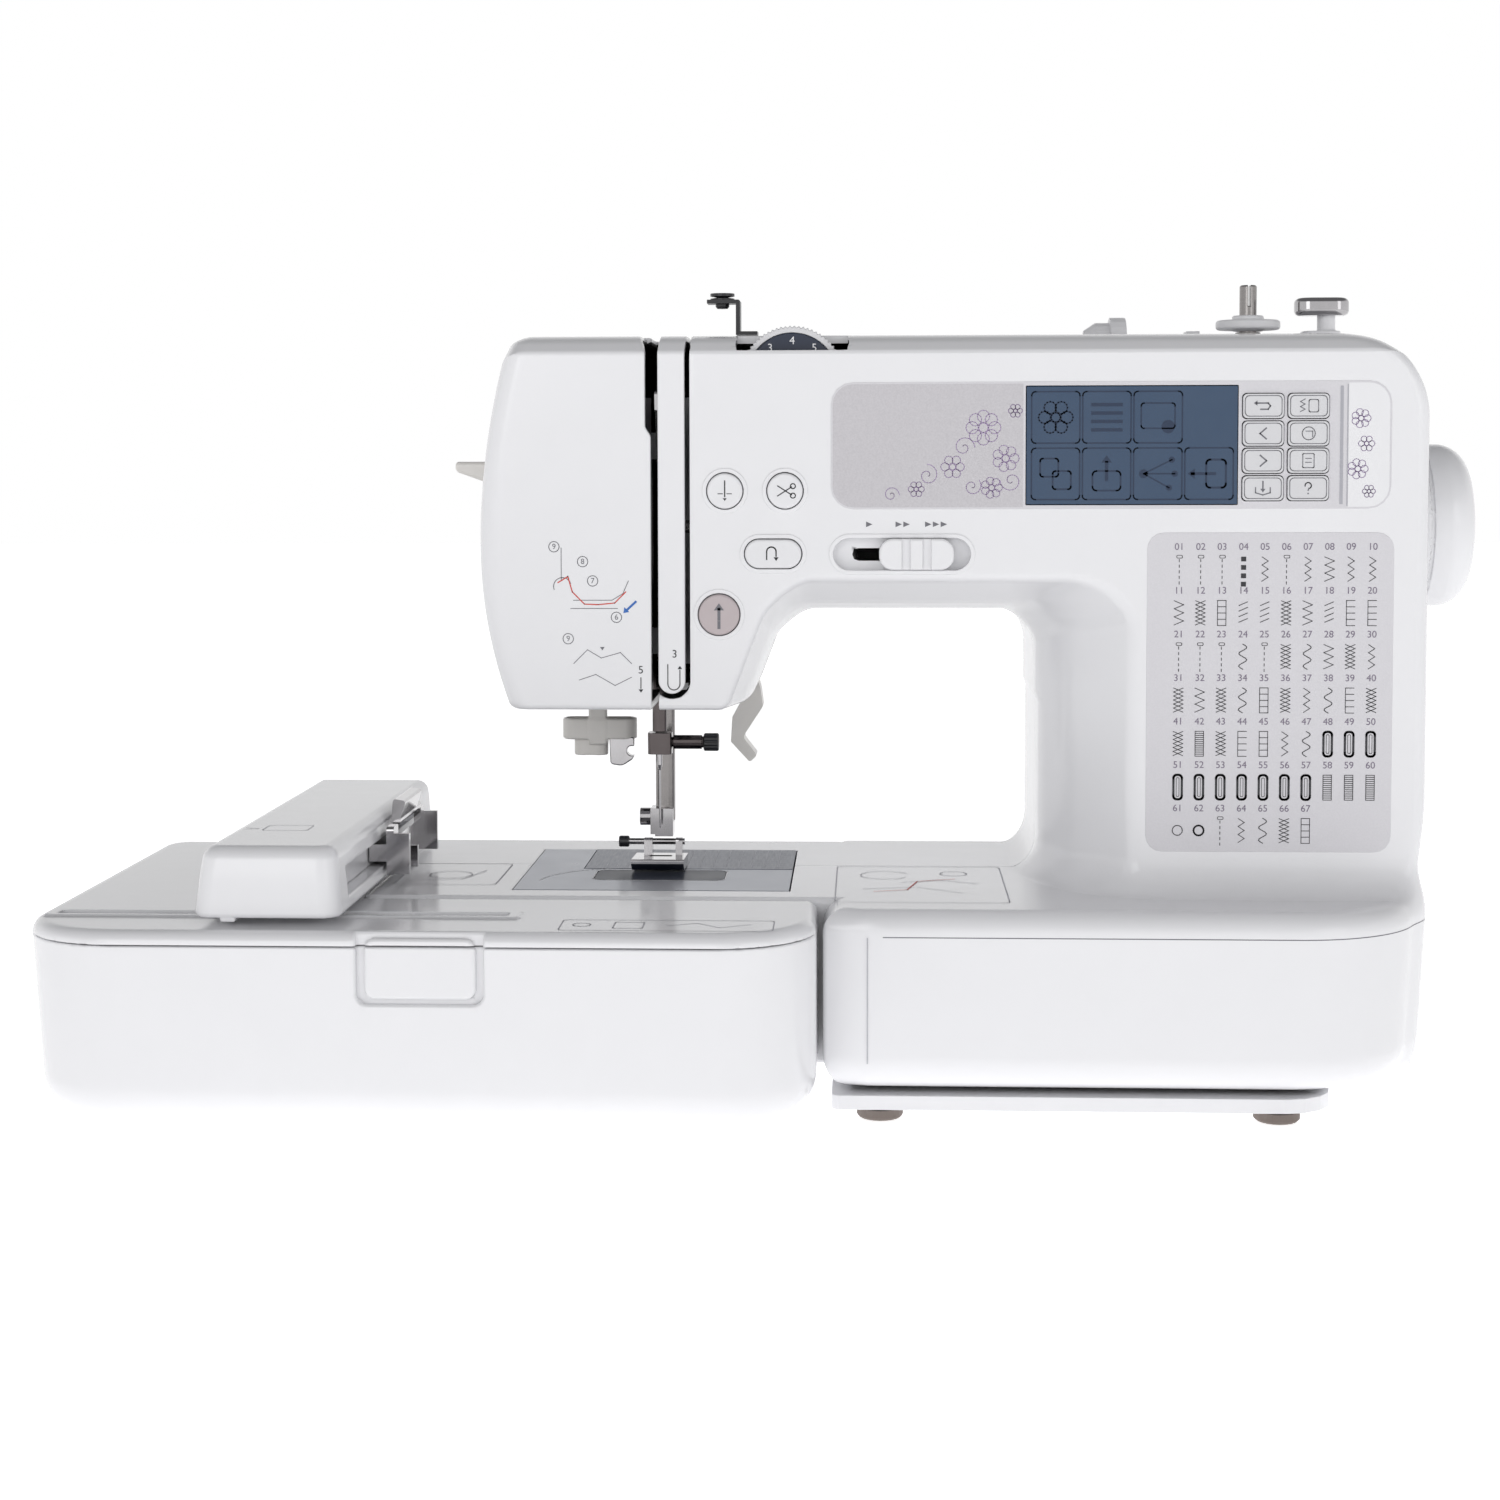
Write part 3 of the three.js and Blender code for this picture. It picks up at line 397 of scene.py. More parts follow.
def head_side(z):
    """Left edge of the head, which bulges between roof and underside."""
    above = np.maximum(z - HEAD_WAIST, 0)
    below = np.maximum(HEAD_WAIST - z, 0)
    return HEAD_LEFT + UPPER_CURVE * above**2 + LOWER_CURVE * below**2


def right_side(z):
    """Right edge of the column and base, leaning in below the bed."""
    taper = 3 * ramp(110 - z, 0, 38)
    lean = 4 * np.clip((BED - z) / BED, 0, 1)
    return RIGHT - taper - lean


def mouth(plane, offset, depth_slope, y):
    """A throat wall joined to the slanted lead-in that widens it towards the front."""
    slanted = (plane - depth_slope * (-y + FRONT + MOUTH_DEPTH)) / math.hypot(1, depth_slope)
    return either(plane, slanted, offset)


def throat(x, y, z):
    right = mouth(x - COLUMN_LEFT, 14, 31.5 / MOUTH_DEPTH, y)
    top = mouth(z - ARM_UNDER, 5, 12.9 / MOUTH_DEPTH, y)
    left = mouth(edge(x, z, (46.5, ARM_UNDER), (32.5, HEAD_BOTTOM - 2)), 3, 6.5 / MOUTH_DEPTH, y)
    return both(both(left, top, 15), right, 17)


def body(x, y, z):
    """The outside of the whole machine without its embroidery unit."""
    lip = (12 * (z - LIP) - 8 * (y - FRONT)) / math.hypot(12, 8)
    face = both(both(FRONT - y, lip, 1.0), z - TOP, 5)
    upper = both(face, head_side(z) - x, 8)
    right = x - right_side(z)
    upper = both(upper, both(right, z - TOP, ROOF_RADIUS), 5)
    under_head = both(z - HEAD_BOTTOM, x - COLUMN_LEFT, 1)
    hollow = either(throat(x, y, z), under_head, 3)
    upper = less(upper, hollow, 2.4)
    corner = edge(x, y, (BASE_LEFT, BASE_FRONT + 3.5), (BASE_LEFT + 15, BASE_FRONT))
    plan = both(both(BASE_FRONT - y, x - right_side(z), 48), both(BASE_LEFT - x, corner, 1.5), 2)
    base = both(both(plan, z - BED, 8), BASE_FLOOR - z, 15)
    arm = brick(x, y, z, FREE_ARM, 2)
    solid = either(upper, either(base, arm), 14)
    return both(solid, both(y - BACK, BASE_FLOOR - z, 8), 6)


SLOT = {"left": -2.8, "middle": strip_low[0], "right": strip_high[0]}
SLOT_FLOOR = strip_low[2]
SLOT_FOOT = 132.0  # the covers are parted from here up


def slot_left(z):
    """Right edge of the face cover; the thread slot is wider over the take-up lever."""
    return SLOT["left"] + 2.0 * ramp(-z, -244.3, -239.7)


def tongue(x, z, grow):
    box = (SLOT["middle"] - grow, SLOT["right"] + grow, SLOT_FLOOR - grow, TOP + 60)
    return panel(x, z, box, 4.8 + grow)


# ---- cuts in the covers
def control_box(node, grow):
    low, high = span(node)
    return (low[0] - grow, high[0] + grow, low[2] - grow, high[2] + grow)


KEYS = (
    "back_key", "left_arrow_key", "right_arrow_key", "enter_key",
    "stitch_select_key", "machine_settings_key", "stitch_guide_key", "help_key",
)
BUTTONS = ("needle_position_button", "thread_cutter_button", "start_stop_button", "reverse_button")
SLIDER = (64.7, 115.1, 191.4, 203.9)


def front_holes(x, y, z):
    near_face = y - (FRONT + 5)
    holes = []
    keys = (
        span(KEYS[0])[0][0] - 0.8, span(KEYS[-1])[1][0] + 0.8,
        span(KEYS[-1])[0][2] - 0.8, span(KEYS[0])[1][2] + 0.8,
    )
    holes.append(both(panel(x, z, keys, 1.9), near_face))
    holes.append(both(panel(x, z, control_box("lcd_screen", 0.5), 0.4), near_face))
    for node in BUTTONS:
        box = control_box(node, 0.8)
        radius = min(box[1] - box[0], box[3] - box[2]) / 2 - 0.01
        holes.append(both(panel(x, z, box, radius), near_face))
    holes.append(both(panel(x, z, SLIDER, 6.2), y - (FRONT + 4.3)))
    holes.append(brick(x, y, z, (72.6, 106.8, FRONT, FRONT + 9, 195.9, 199.7)))
    return any_of(0, *holes)


SHAFT = sum(span("handwheel"))[1:] / 2
WINDER = sum(span("winder_spindle"))[:2] / 2


def openings(x, y, z):
    """Holes through the covers, apart from the front controls."""
    radius = around(y, z, SHAFT)
    dial = brick(x, y, z, (30.3, 70.3, -48.2, -34.4, 271.2, 300))
    dial_pocket = brick(x, y, z, (29.8, 70.8, -46.7, -36.6, 240, 275))
    winder_box = (WINDER[0] - 5.2, WINDER[0] + 10.2, WINDER[1] - 5.4, WINDER[1] + 5.4)
    winder = both(panel(x, y, winder_box, 5), 260 - z)
    plate_window = brick(x, y, z, (-52.4, 49.4, -50.4, 45.4, BED - 6, BED + 9))
    tray_window = brick(x, y, z, (72, 234, -78, 66, -9, 20))
    bars_window = brick(x, y, z, (-46, 9, -12, 26, 130, 152))
    lifter_slot = brick(x, y, z, (17, 60, 28, 44, 128, 164))
    threader_slot = brick(x, y, z, (-90, -50, 10.6, 23.4, 183, 233), 1)
    spool_recess = brick(x, y, z, (158, 206, 9.6, 34, 265.4, 300), 2)
    shaft_hole = both(radius - 6.2, 260 - x)
    switch_hole = brick(x, y, z, (266, 300, 39, 51, 113, 131), 1)
    inlet_hole = brick(x, y, z, (264, 300, 37, 53, 88, 100), 1)
    return any_of(
        0, plate_window, tray_window, bars_window, lifter_slot, threader_slot, dial, dial_pocket,
        winder, spool_recess, shaft_hole, switch_hole, inlet_hole,
    )


def hollow(x, y, z, outside):
    """The space inside the covers, with the bosses that stand in it left solid."""
    space = outside + SKIN_DEPTH
    for box in (
        (261.5, RIGHT, 34.5, 55.5, 85.5, 102.5),
        (SLIDER[0] - 3, SLIDER[1] + 3, FRONT, FRONT + 6.2, SLIDER[2] - 3, SLIDER[3] + 3),
        (155.5, 208.5, SEAM, 36.5, 262.8, TOP),
    ):
        space = less(space, brick(x, y, z, box))
    return space


def cover(x, y, z):
    outside = body(x, y, z)
    solid = less(outside, hollow(x, y, z, outside))
    return less(solid, openings(x, y, z), 0.4)


def left_of_slot(x, z):
    return both(x - slot_left(z), SLOT_FOOT - z)


def funnel(x, y, z):
    """The flare at the top of the first slot, where the thread is dropped in."""
    return both(outline(x, z, [(-2.8, 271), (1.4, 271), (3.2, 285), (-8.5, 285)]), y - (FRONT + 30))


def front_half(x, y, z):
    return both(cover(x, y, z), y - (SEAM - GAP / 2), 0.3)


def front_cover(x, y, z):
    removed = either(both(x - SLOT["middle"], SLOT_FOOT - z), tongue(x, z, 1.9))
    solid = less(front_half(x, y, z), removed, 0.5)
    return less(solid, front_holes(x, y, z), 0.25)


def face_cover(x, y, z):
    solid = both(front_half(x, y, z), left_of_slot(x, z), 0.7)
    return less(solid, funnel(x, y, z), 1)


def slot_strip(x, y, z):
    return both(less(front_half(x, y, z), funnel(x, y, z), 0.6), tongue(x, z, 0), 0.6)


def rear_cover(x, y, z):
    return both(cover(x, y, z), SEAM + GAP / 2 - y, 0.3)


COVER_STEP = 1.6
STRIP_STEP = 0.8


# recesses that light reaches, kept white instead of getting the painted inside shade
LIT_RECESSES = (
    (SLIDER[0] - 1, SLIDER[1] + 1, FRONT - 1, FRONT + 4.6, SLIDER[2] - 1, SLIDER[3] + 1),
    (155, 209, 8.5, 37, 262, 290),
    (262, 290, 35, 55, 86, 132),
)


def cover_piece(name, field, step):
    low, high = span(name)
    finish = ("machine_body", "white_cover", WHITE, (name,))
    darken_inside(skin(name + "_skin", field, low - 1, high + 1, step, *finish))


def darken_inside(obj):
    """Paints shade on the hidden side of a cover: its faces deep inside get a near-black colour for the
    darkness there, apart from the lit recesses.
    """
    obj.data.materials.append(PAINTED_SHADE_INSIDE)
    count = len(obj.data.polygons)
    centres = np.zeros(count * 3, np.float32)
    obj.data.polygons.foreach_get("center", centres)
    at = centres.reshape(-1, 3).astype(float) * 1000 - ORIGIN
    # painted shade mask: the faces more than a wall deep inside the body
    painted_shade = body(*at.T) < -WALL * 0.9
    x, y, z = at.T
    for box in LIT_RECESSES:
        painted_shade &= brick(x, y, z, box) > 0
    obj.data.polygons.foreach_set("material_index", painted_shade.astype(np.int32))


cover_piece("front_cover", front_cover, COVER_STEP)
cover_piece("face_cover", face_cover, COVER_STEP * 0.6)
cover_piece("thread_slot_strip", slot_strip, STRIP_STEP)
cover_piece("rear_cover", rear_cover, COVER_STEP)

# ---- more materials
MATTE_WHITE = plastic("satin_white", (0.78, 0.78, 0.80), 0.34, spread=0.02)
SILVER = plastic("silver_film", (0.66, 0.65, 0.68), 0.42, spread=0.03, bump=0.002)
LABEL = plastic("label_film", (0.57, 0.555, 0.58), 0.40, spread=0.06, bump=0.003)
for film in (SILVER, LABEL):
    for node in film.node_tree.nodes:
        if node.type == "TEX_NOISE":
            node.inputs["Scale"].default_value = 1600
KEY_GREY = plastic("key_grey", (0.66, 0.66, 0.68), 0.38, spread=0.02)
PINK_GREY = plastic("start_grey", (0.50, 0.44, 0.45), 0.34, spread=0.02)
WARM_GREY = plastic("warm_grey", (0.74, 0.72, 0.69), 0.32, spread=0.03)
BLACK = plastic("black_plastic", (0.022, 0.022, 0.025), 0.32, spread=0.008)
RUBBER = plastic("rubber", (0.20, 0.17, 0.155), 0.75, spread=0.04, bump=0.02)
NAVY = plastic("dial_navy", (0.016, 0.024, 0.050), 0.36, spread=0.006)
CHROME = metal("chrome", (0.46, 0.45, 0.46), 0.11, bump=0.0005)
STEEL = metal("turned_steel", (0.30, 0.285, 0.28), 0.22, stretch=(1, 1, 12), bump=0.001)
DARK_CHROME = metal("dark_chrome", (0.115, 0.10, 0.10), 0.16, bump=0.0005)
PLATE_STEEL = metal("brushed_plate", (0.135, 0.145, 0.18), 0.33, stretch=(14, 1, 1), bump=0.002)
CAST = metal("cast_alloy", (0.50, 0.51, 0.53), 0.55, bump=0.03)
BLUE_SILVER = plastic("plate_silver", (0.30, 0.315, 0.36), 0.30, spread=0.012, bump=0.0)
socket(BLUE_SILVER, "Metallic").default_value = 0.6
GLASS_SMOKE = plastic("smoked_cover", (0.035, 0.042, 0.062), 0.34, spread=0.01, bump=0.0)
socket(GLASS_SMOKE, "Specular IOR Level").default_value = 0.12
SCREEN = plastic("display", (0.030, 0.064, 0.125), 0.22, spread=0.006, bump=0.0, coat=0.2)
LENS = plastic("lamp_lens", (0.62, 0.68, 0.95), 0.20, spread=0.05)


def printing(name, color, spread, roughness=0.5, bump=0.001):
    return plastic("ink_" + name, color, roughness, spread, bump)


INK_BLACK = printing("black", (0.030, 0.030, 0.035), 0.01)
INK_GREY = printing("grey", (0.17, 0.17, 0.19), 0.03)
INK_PALE = printing("pale", (0.42, 0.42, 0.46), 0.03)
INK_VIOLET = printing("violet", (0.36, 0.25, 0.47), 0.05)
INK_NUMBER = printing("number", (0.20, 0.17, 0.23), 0.02)
INK_RED = printing("red", (0.62, 0.07, 0.05), 0.04)
INK_BLUE = printing("blue", (0.05, 0.16, 0.48), 0.03)
INK_SCREEN = printing("screen", (0.012, 0.028, 0.068), 0.004, 0.4, 0.0)
INK_WHITE = printing("white", (0.85, 0.85, 0.87), 0.03)

FINISHES = (
    (MATTE_WHITE, ("bottom_tray", "spool_pin")),
    (RUBBER, tuple(name for name in NODES if name.startswith("rubber_foot"))),
    (SILVER, ("control_panel", "stitch_chart_plate")),
    (SCREEN, ("lcd_screen",)),
    (KEY_GREY, KEYS),
    (BLACK, ("thread_guide", "drive_belt", "bobbin_case", "power_switch")),
    (STEEL, (
        "winder_carrier", "upper_shaft", "motor_pulley", "presser_bar", "feed_dog",
    )),
    (DARK_CHROME, ("needle_bar", "needle_clamp", "needle_clamp_screw")),
    (CHROME, ("needle", "take_up_lever", "presser_foot", "presser_ankle", "frame_holder", "frame_lever")),
    (CAST, ("main_frame", "drive_motor")),
    (WARM_GREY, ("presser_lifter",)),
    (LENS, ("led_lamp",)),
    (PLATE_STEEL, ("needle_plate",)),
    (BLUE_SILVER, ("plate_cover",)),
    (GLASS_SMOKE, ("bobbin_cover", "bobbin")),
)


def soften(node, width_mm, material):
    """Gives a CAD node its finish, and a small round on its edges."""
    obj = NODES[node]
    for index in range(max(len(obj.material_slots), 1)):
        if obj.material_slots:
            obj.material_slots[index].material = material
        else:
            obj.data.materials.append(material)
    weld = obj.modifiers.new("weld", "WELD")
    weld.merge_threshold = 1e-5
    bevel = obj.modifiers.new("round", "BEVEL")
    bevel.width = width_mm / 1000
    bevel.segments = 2
    bevel.limit_method = "ANGLE"
    bevel.angle_limit = math.radians(35)
    bevel.harden_normals = True


for finish_material, finish_nodes in FINISHES:
    for finish_node in finish_nodes:
        soften(finish_node, 0.25, finish_material)

# ---- embroidery unit
FINE = 1.0
unit_low, unit_high = span("unit_top_cover")
UNIT_LEFT, UNIT_FRONT, UNIT_BACK = -212.0, unit_low[1] - 0.3, unit_high[1]
UNIT_RIGHT, UNIT_TOP, UNIT_FLOOR, UNIT_SPLIT = unit_high[0], unit_high[2], 4.5, unit_low[2] - 0.15
NOTCH = (ARM_END - 0.6, -64.6)
RAIL = (-203, -46, -104.4, -98.6)
UNIT_FEET = ((-160, -100), (16, -104), (-160, 44))


def shaped(node, field, step, body_name, slot, material, grow=1.0, suffix="_skin", replaced=True):
    low, high = span(node)
    finish = (body_name, slot, material, (node,) if replaced else ())
    return skin(node + suffix, field, low - grow, high + grow, step * FINE, *finish)


def unit_body(x, y, z):
    left = UNIT_LEFT + 4 * np.clip((UNIT_TOP - z) / UNIT_TOP, 0, 1) - x
    front = UNIT_FRONT + 2 * np.clip((UNIT_TOP - z) / UNIT_TOP, 0, 1) - y
    right = x - UNIT_RIGHT
    plan = both(both(left, front, 36), both(right, front, 34))
    plan = both(both(plan, y - UNIT_BACK, 2), both(left, y - UNIT_BACK, 12))
    plan = less(plan, both(NOTCH[0] - x, NOTCH[1] - y), 1)
    solid = both(both(plan, z - UNIT_TOP, 5), UNIT_FLOOR - z, 17)
    ridge = brick(x, y, z, (RAIL[0] - 4, RAIL[1] + 4, RAIL[2] - 3, RAIL[3] + 3, 70, UNIT_TOP + 0.7), 0.6)
    solid = either(solid, ridge, 0.4)
    recess = both(panel(x, z, (-93, -50, 50.5, 130), 4), y - (UNIT_FRONT + 3.4), 0.5)
    tab = both(panel(x, z, (-90.2, -52.8, 52.2, 72.6), 3.5), UNIT_FRONT + 1.4 - y, 1.2)
    solid = less(solid, recess, 1.2)
    solid = either(solid, both(tab, y - (UNIT_FRONT + 8)), 0.4)
    return less(solid, brick(x, y, z, (*RAIL, 60, 90), 0.5), 0.5)


def unit_top(x, y, z):
    return both(unit_body(x, y, z), UNIT_SPLIT + 0.25 - z, 0.5)


def unit_lower(x, y, z):
    solid = both(unit_body(x, y, z), z - (UNIT_SPLIT - 0.25), 0.5)
    for foot_x, foot_y in UNIT_FEET:
        foot = both(np.hypot(x - foot_x, y - foot_y) - 7.4, between(z, 0, 9), 1)
        solid = either(solid, foot, 0.6)
    return solid


shaped("unit_top_cover", unit_top, 1.3, "embroidery_unit", "white_cover", WHITE, grow=2)
shaped("unit_lower_cover", unit_lower, 1.5, "embroidery_unit", "white_cover", WHITE, grow=2)

carriage_low, carriage_high = span("carriage")
CAR = (carriage_low[0], carriage_high[0], carriage_low[1], carriage_high[1], 77.5, carriage_high[2])


def carriage(x, y, z):
    lean = (z - CAR[4]) / (CAR[5] - CAR[4])
    left = CAR[0] + 3 * lean - x
    right = x - CAR[1] + 2 * lean
    front = CAR[2] + 3 * np.clip(lean, 0, 1) ** 2 - y
    plan = both(both(left, front, 7), both(right, front, 7))
    plan = both(plan, y - CAR[3], 3)
    solid = both(both(plan, z - CAR[5], 4.5), CAR[4] - z, 2)
    solid = less(solid, brick(x, y, z, (CAR[1] - 6, CAR[1] + 4, -107, 32, 82.6, 92.6)), 0.6)
    post = brick(x, y, z, (CAR[0] + 8, CAR[1] - 8, RAIL[2] + 1, RAIL[3] - 1, 61, 80))
    tab = brick(x, y, z, (CAR[0] + 10, CAR[0] + 15, CAR[2] + 1, CAR[2] + 8, 76.2, 80), 0.6)
    return any_of(0.3, solid, post, tab)


shaped("carriage", carriage, 0.9, "carriage", "white_cover", WHITE, grow=2)

# ---- turned fittings
WHEEL_RADIUS = 30.5
WHEEL_INNER, WHEEL_OUTER = 279.9, 303.8
DOME_RADIUS = 110.0


def wheel(x, y, z):
    radius = around(y, z, SHAFT)
    dome = np.hypot(radius, x - (WHEEL_OUTER - DOME_RADIUS)) - DOME_RADIUS
    rim = both(both(radius - WHEEL_RADIUS, dome, 8), WHEEL_INNER - x, 1)
    groove = both(np.abs(x - 284.6) - 0.7, 29.7 - radius)
    hollow_back = both(radius - 24, x - 285, 1)
    return less(less(rim, groove, 0.3), both(hollow_back, 5.6 - radius), 0.8)


shaped("handwheel", wheel, 0.9, "drive_shaft", "white_cover", WHITE, grow=1)


def button(node, material, radius=None):
    """A flat topped button: round with the given radius, or as long as its node."""
    low, high = span(node)
    middle_x, middle_z = (low[0] + high[0]) / 2, (low[2] + high[2]) / 2

    def field(x, y, z):
        if radius:
            plan = np.hypot(x - middle_x, z - middle_z) - radius
        else:
            plan = panel(x, z, (low[0], high[0], low[2], high[2]), (high[2] - low[2]) / 2 - 0.01)
        return both(both(plan, low[1] - y, 0.9), y - high[1])

    slot = "grey_button" if material is PINK_GREY else "white_cover"
    shaped(node, field, 0.5, node, slot, material)


button("needle_position_button", MATTE_WHITE, 6.4)
button("thread_cutter_button", MATTE_WHITE, 6.4)
button("start_stop_button", PINK_GREY, 7.4)
button("reverse_button", MATTE_WHITE)


def slider_knob(x, y, z):
    low, high = span("speed_slider")
    plan = panel(x, z, (low[0], high[0], low[2], high[2]), 5)
    solid = both(both(plan, low[1] - y, 1), y - (FRONT + 3.6))
    for groove_x in (91.4, 98.9):
        cutter = both(np.abs(x - groove_x) - 1.5, y - (low[1] + 1.5))
        solid = less(solid, cutter, 0.5)
    stem = brick(x, y, z, (91, 99, FRONT + 3, FRONT + 9, 196.8, 198.8))
    keeper = brick(x, y, z, (88, 102, FRONT + 7, FRONT + 9, 193.5, 202))
    return any_of(0, solid, stem, keeper)


shaped("speed_slider", slider_knob, 0.5, "speed_slider", "white_cover", WHITE)

DIAL = sum(span("tension_dial"))[::2] / 2
DIAL_Y = span("tension_dial")[0][1]


def dial_rim(x, y, z):
    radius = around(x, z, DIAL)
    knurl = 0.3 * np.cos(72 * np.arctan2(z - DIAL[1], x - DIAL[0]))
    disc = both(both(radius - 18.7 + knurl, DIAL_Y - y, 0.6), y + 38, 0.6)
    return less(disc, both(radius - 16.6, y - (DIAL_Y + 1.5)), 0.2)


shaped("tension_dial", dial_rim, 0.5, "tension_dial", "dial_plastic", KEY_GREY)

def dial_face(x, y, z):
    radius = around(x, z, DIAL)
    return both(both(radius - 16.5, DIAL_Y + 0.9 - y, 0.2), y - (DIAL_Y + 1.7))


skin("dial_face", dial_face, *span("tension_dial"), 0.5 * FINE, "tension_dial", "dial_plastic", NAVY)


def spindle(x, y, z):
    radius = around(x, y, WINDER)
    shaft = both(radius - 3.25, both(z - 298, 258 - z), 0.8)
    return less(shaft, both(np.abs(x - WINDER[0]) - 0.5, 290 - z), 0.2)


def winder_disc(x, y, z):
    radius = around(x, y, WINDER)
    plate = both(radius - 12.2, between(z, 281, 284.6), 1.2)
    hub = both(radius - 6, between(z, 280.5, 286.4), 0.8)
    return less(either(plate, hub, 0.8), radius - 3.3)


shaped("winder_spindle", spindle, 0.5, "winder_spindle", "polished_steel", STEEL)
shaped("winder_spindle", winder_disc, 0.6, "winder_spindle", "white_cover", MATTE_WHITE,
       suffix="_disc", replaced=False)


def stop_knob(x, y, z):
    return both(panel(x, y, (240.8, 261.3, 13.5, 26.5), 6), between(z, 286.2, 293), 2)


def stop_base(x, y, z):
    stalk = both(np.hypot(x - 252.9, y - 20) - 3.4, between(z, 278, 287))
    base = both(panel(x, y, (243.5, 258, 13, 27), 5), between(z, 276, TOP + 1.8), 0.6)
    return less(either(stalk, base, 1), body(x, y, z) - 0.2)


shaped("winder_stop", stop_base, 0.6, "machine_body", "grey_button", MATTE_WHITE)
shaped("winder_stop", stop_knob, 0.6, "machine_body", "polished_steel", CHROME,
       suffix="_knob", replaced=False)

# ---- rims round the controls
def rim(name, box, radius, width=1.5):
    """A raised ring pressed round a hole in the front face."""
    def field(x, y, z):
        hole = panel(x, z, box, radius)
        return both(both(hole - width, -hole, 0), both(FRONT - 0.3 - y, y - (FRONT + 2)), 0.3)

    low = np.array((box[0] - width - 1, FRONT - 1, box[2] - width - 1))
    high = np.array((box[1] + width + 1, FRONT + 3, box[3] + width + 1))
    skin(name, field, low, high, 0.45 * FINE, "machine_body", "white_cover", WHITE)


for node in BUTTONS:
    rim_box = control_box(node, 0.35)
    rim(node + "_rim", rim_box, min(rim_box[1] - rim_box[0], rim_box[3] - rim_box[2]) / 2 - 0.01)
rim("slider_rim", (SLIDER[0] + 0.4, SLIDER[1] - 0.4, SLIDER[2] + 0.4, SLIDER[3] - 0.4), 6)

# ---- needle threader and screws
def threader_body(x, y, z):
    post = brick(x, y, z, (-31, -24, 14, 20, 121, 236), 1)
    paddle = [(-82.3, 227.4), (-64, 220.9), (-24, 222.5), (-24, 231.2), (-82.3, 231.2)]
    lever = both(outline(x, z, paddle, 1.5), between(y, 13.2, 20.8), 1.6)
    tray = both(panel(x, y, (-41.5, -12.5, 14, 24), 4.6), between(z, 123, 131.3), 1)
    pocket = both(panel(x, y, (-39.9, -14.1, 15.4, 22.6), 3.4), 127 - z, 0.5)
    barrel = both(np.hypot(x + 30.5, (y - 19.5) * 1.9) - 6.6, between(z, 116.6, 126), 0.6)
    solid = either(either(tray, barrel, 0.5), post, 0.8)
    return either(less(solid, both(pocket, -post), 0.4), lever, 0.8)


def threader_claw(x, y, z):
    plate = both(outline(x, z, [(-22.6, 113.4), (-18, 112.6), (-13.4, 115.6), (-13.2, 124), (-23, 124)], 1),
                 between(y, 14.6, 19.6), 0.5)
    bite = np.hypot(x + 14.2, z - 118.6) - 1.9
    hook = both(np.hypot(np.hypot(x + 19.6, z - 114.4) - 2.2, y - 15.6) - 0.55, 114.6 - z)
    return either(less(plate, bite, 0.4), hook, 0.3)


shaped("needle_threader", threader_body, 0.8, "needle_threader", "grey_plastic", WARM_GREY)
skin("threader_claw", threader_claw, (-24, 13, 111), (-12, 21, 125), 0.45 * FINE,
     "needle_threader", "polished_steel", CHROME)


def cap(name, low, high, field, body_name, material, step=0.4):
    return skin(name, field, low, high, step * FINE, body_name, "black_plastic", material)


CLAMP_HEIGHT = 123.8
CLAMP_RIDGES = 16


def clamp_knob(x, y, z):
    turn_round = np.arctan2(z - CLAMP_HEIGHT, y)
    radius = np.hypot(y, z - CLAMP_HEIGHT) + 0.12 * np.cos(CLAMP_RIDGES * turn_round)
    return both(radius - 3.3, between(x, 14.9, 20.7), 0.7)


cap("clamp_knob", (14, -4.5, 119), (22, 4.5, 128.5), clamp_knob, "needle_clamp_screw", BLACK)


def pin_tip(x, y, z):
    return both(np.hypot(y - 6.6, z - 84.4) - 2.15, between(x, -18.5, -14.5), 0.6)


cap("foot_pin_tip", (-20, 3.5, 81.5), (-13.5, 9.5, 87.5), pin_tip, "presser_foot", BLACK)

# ---- printed marks
def spoke(u, v, radius, degrees):
    """The point at a distance and an angle from (u, v)."""
    t = math.radians(degrees)
    return u + radius * math.cos(t), v + radius * math.sin(t)


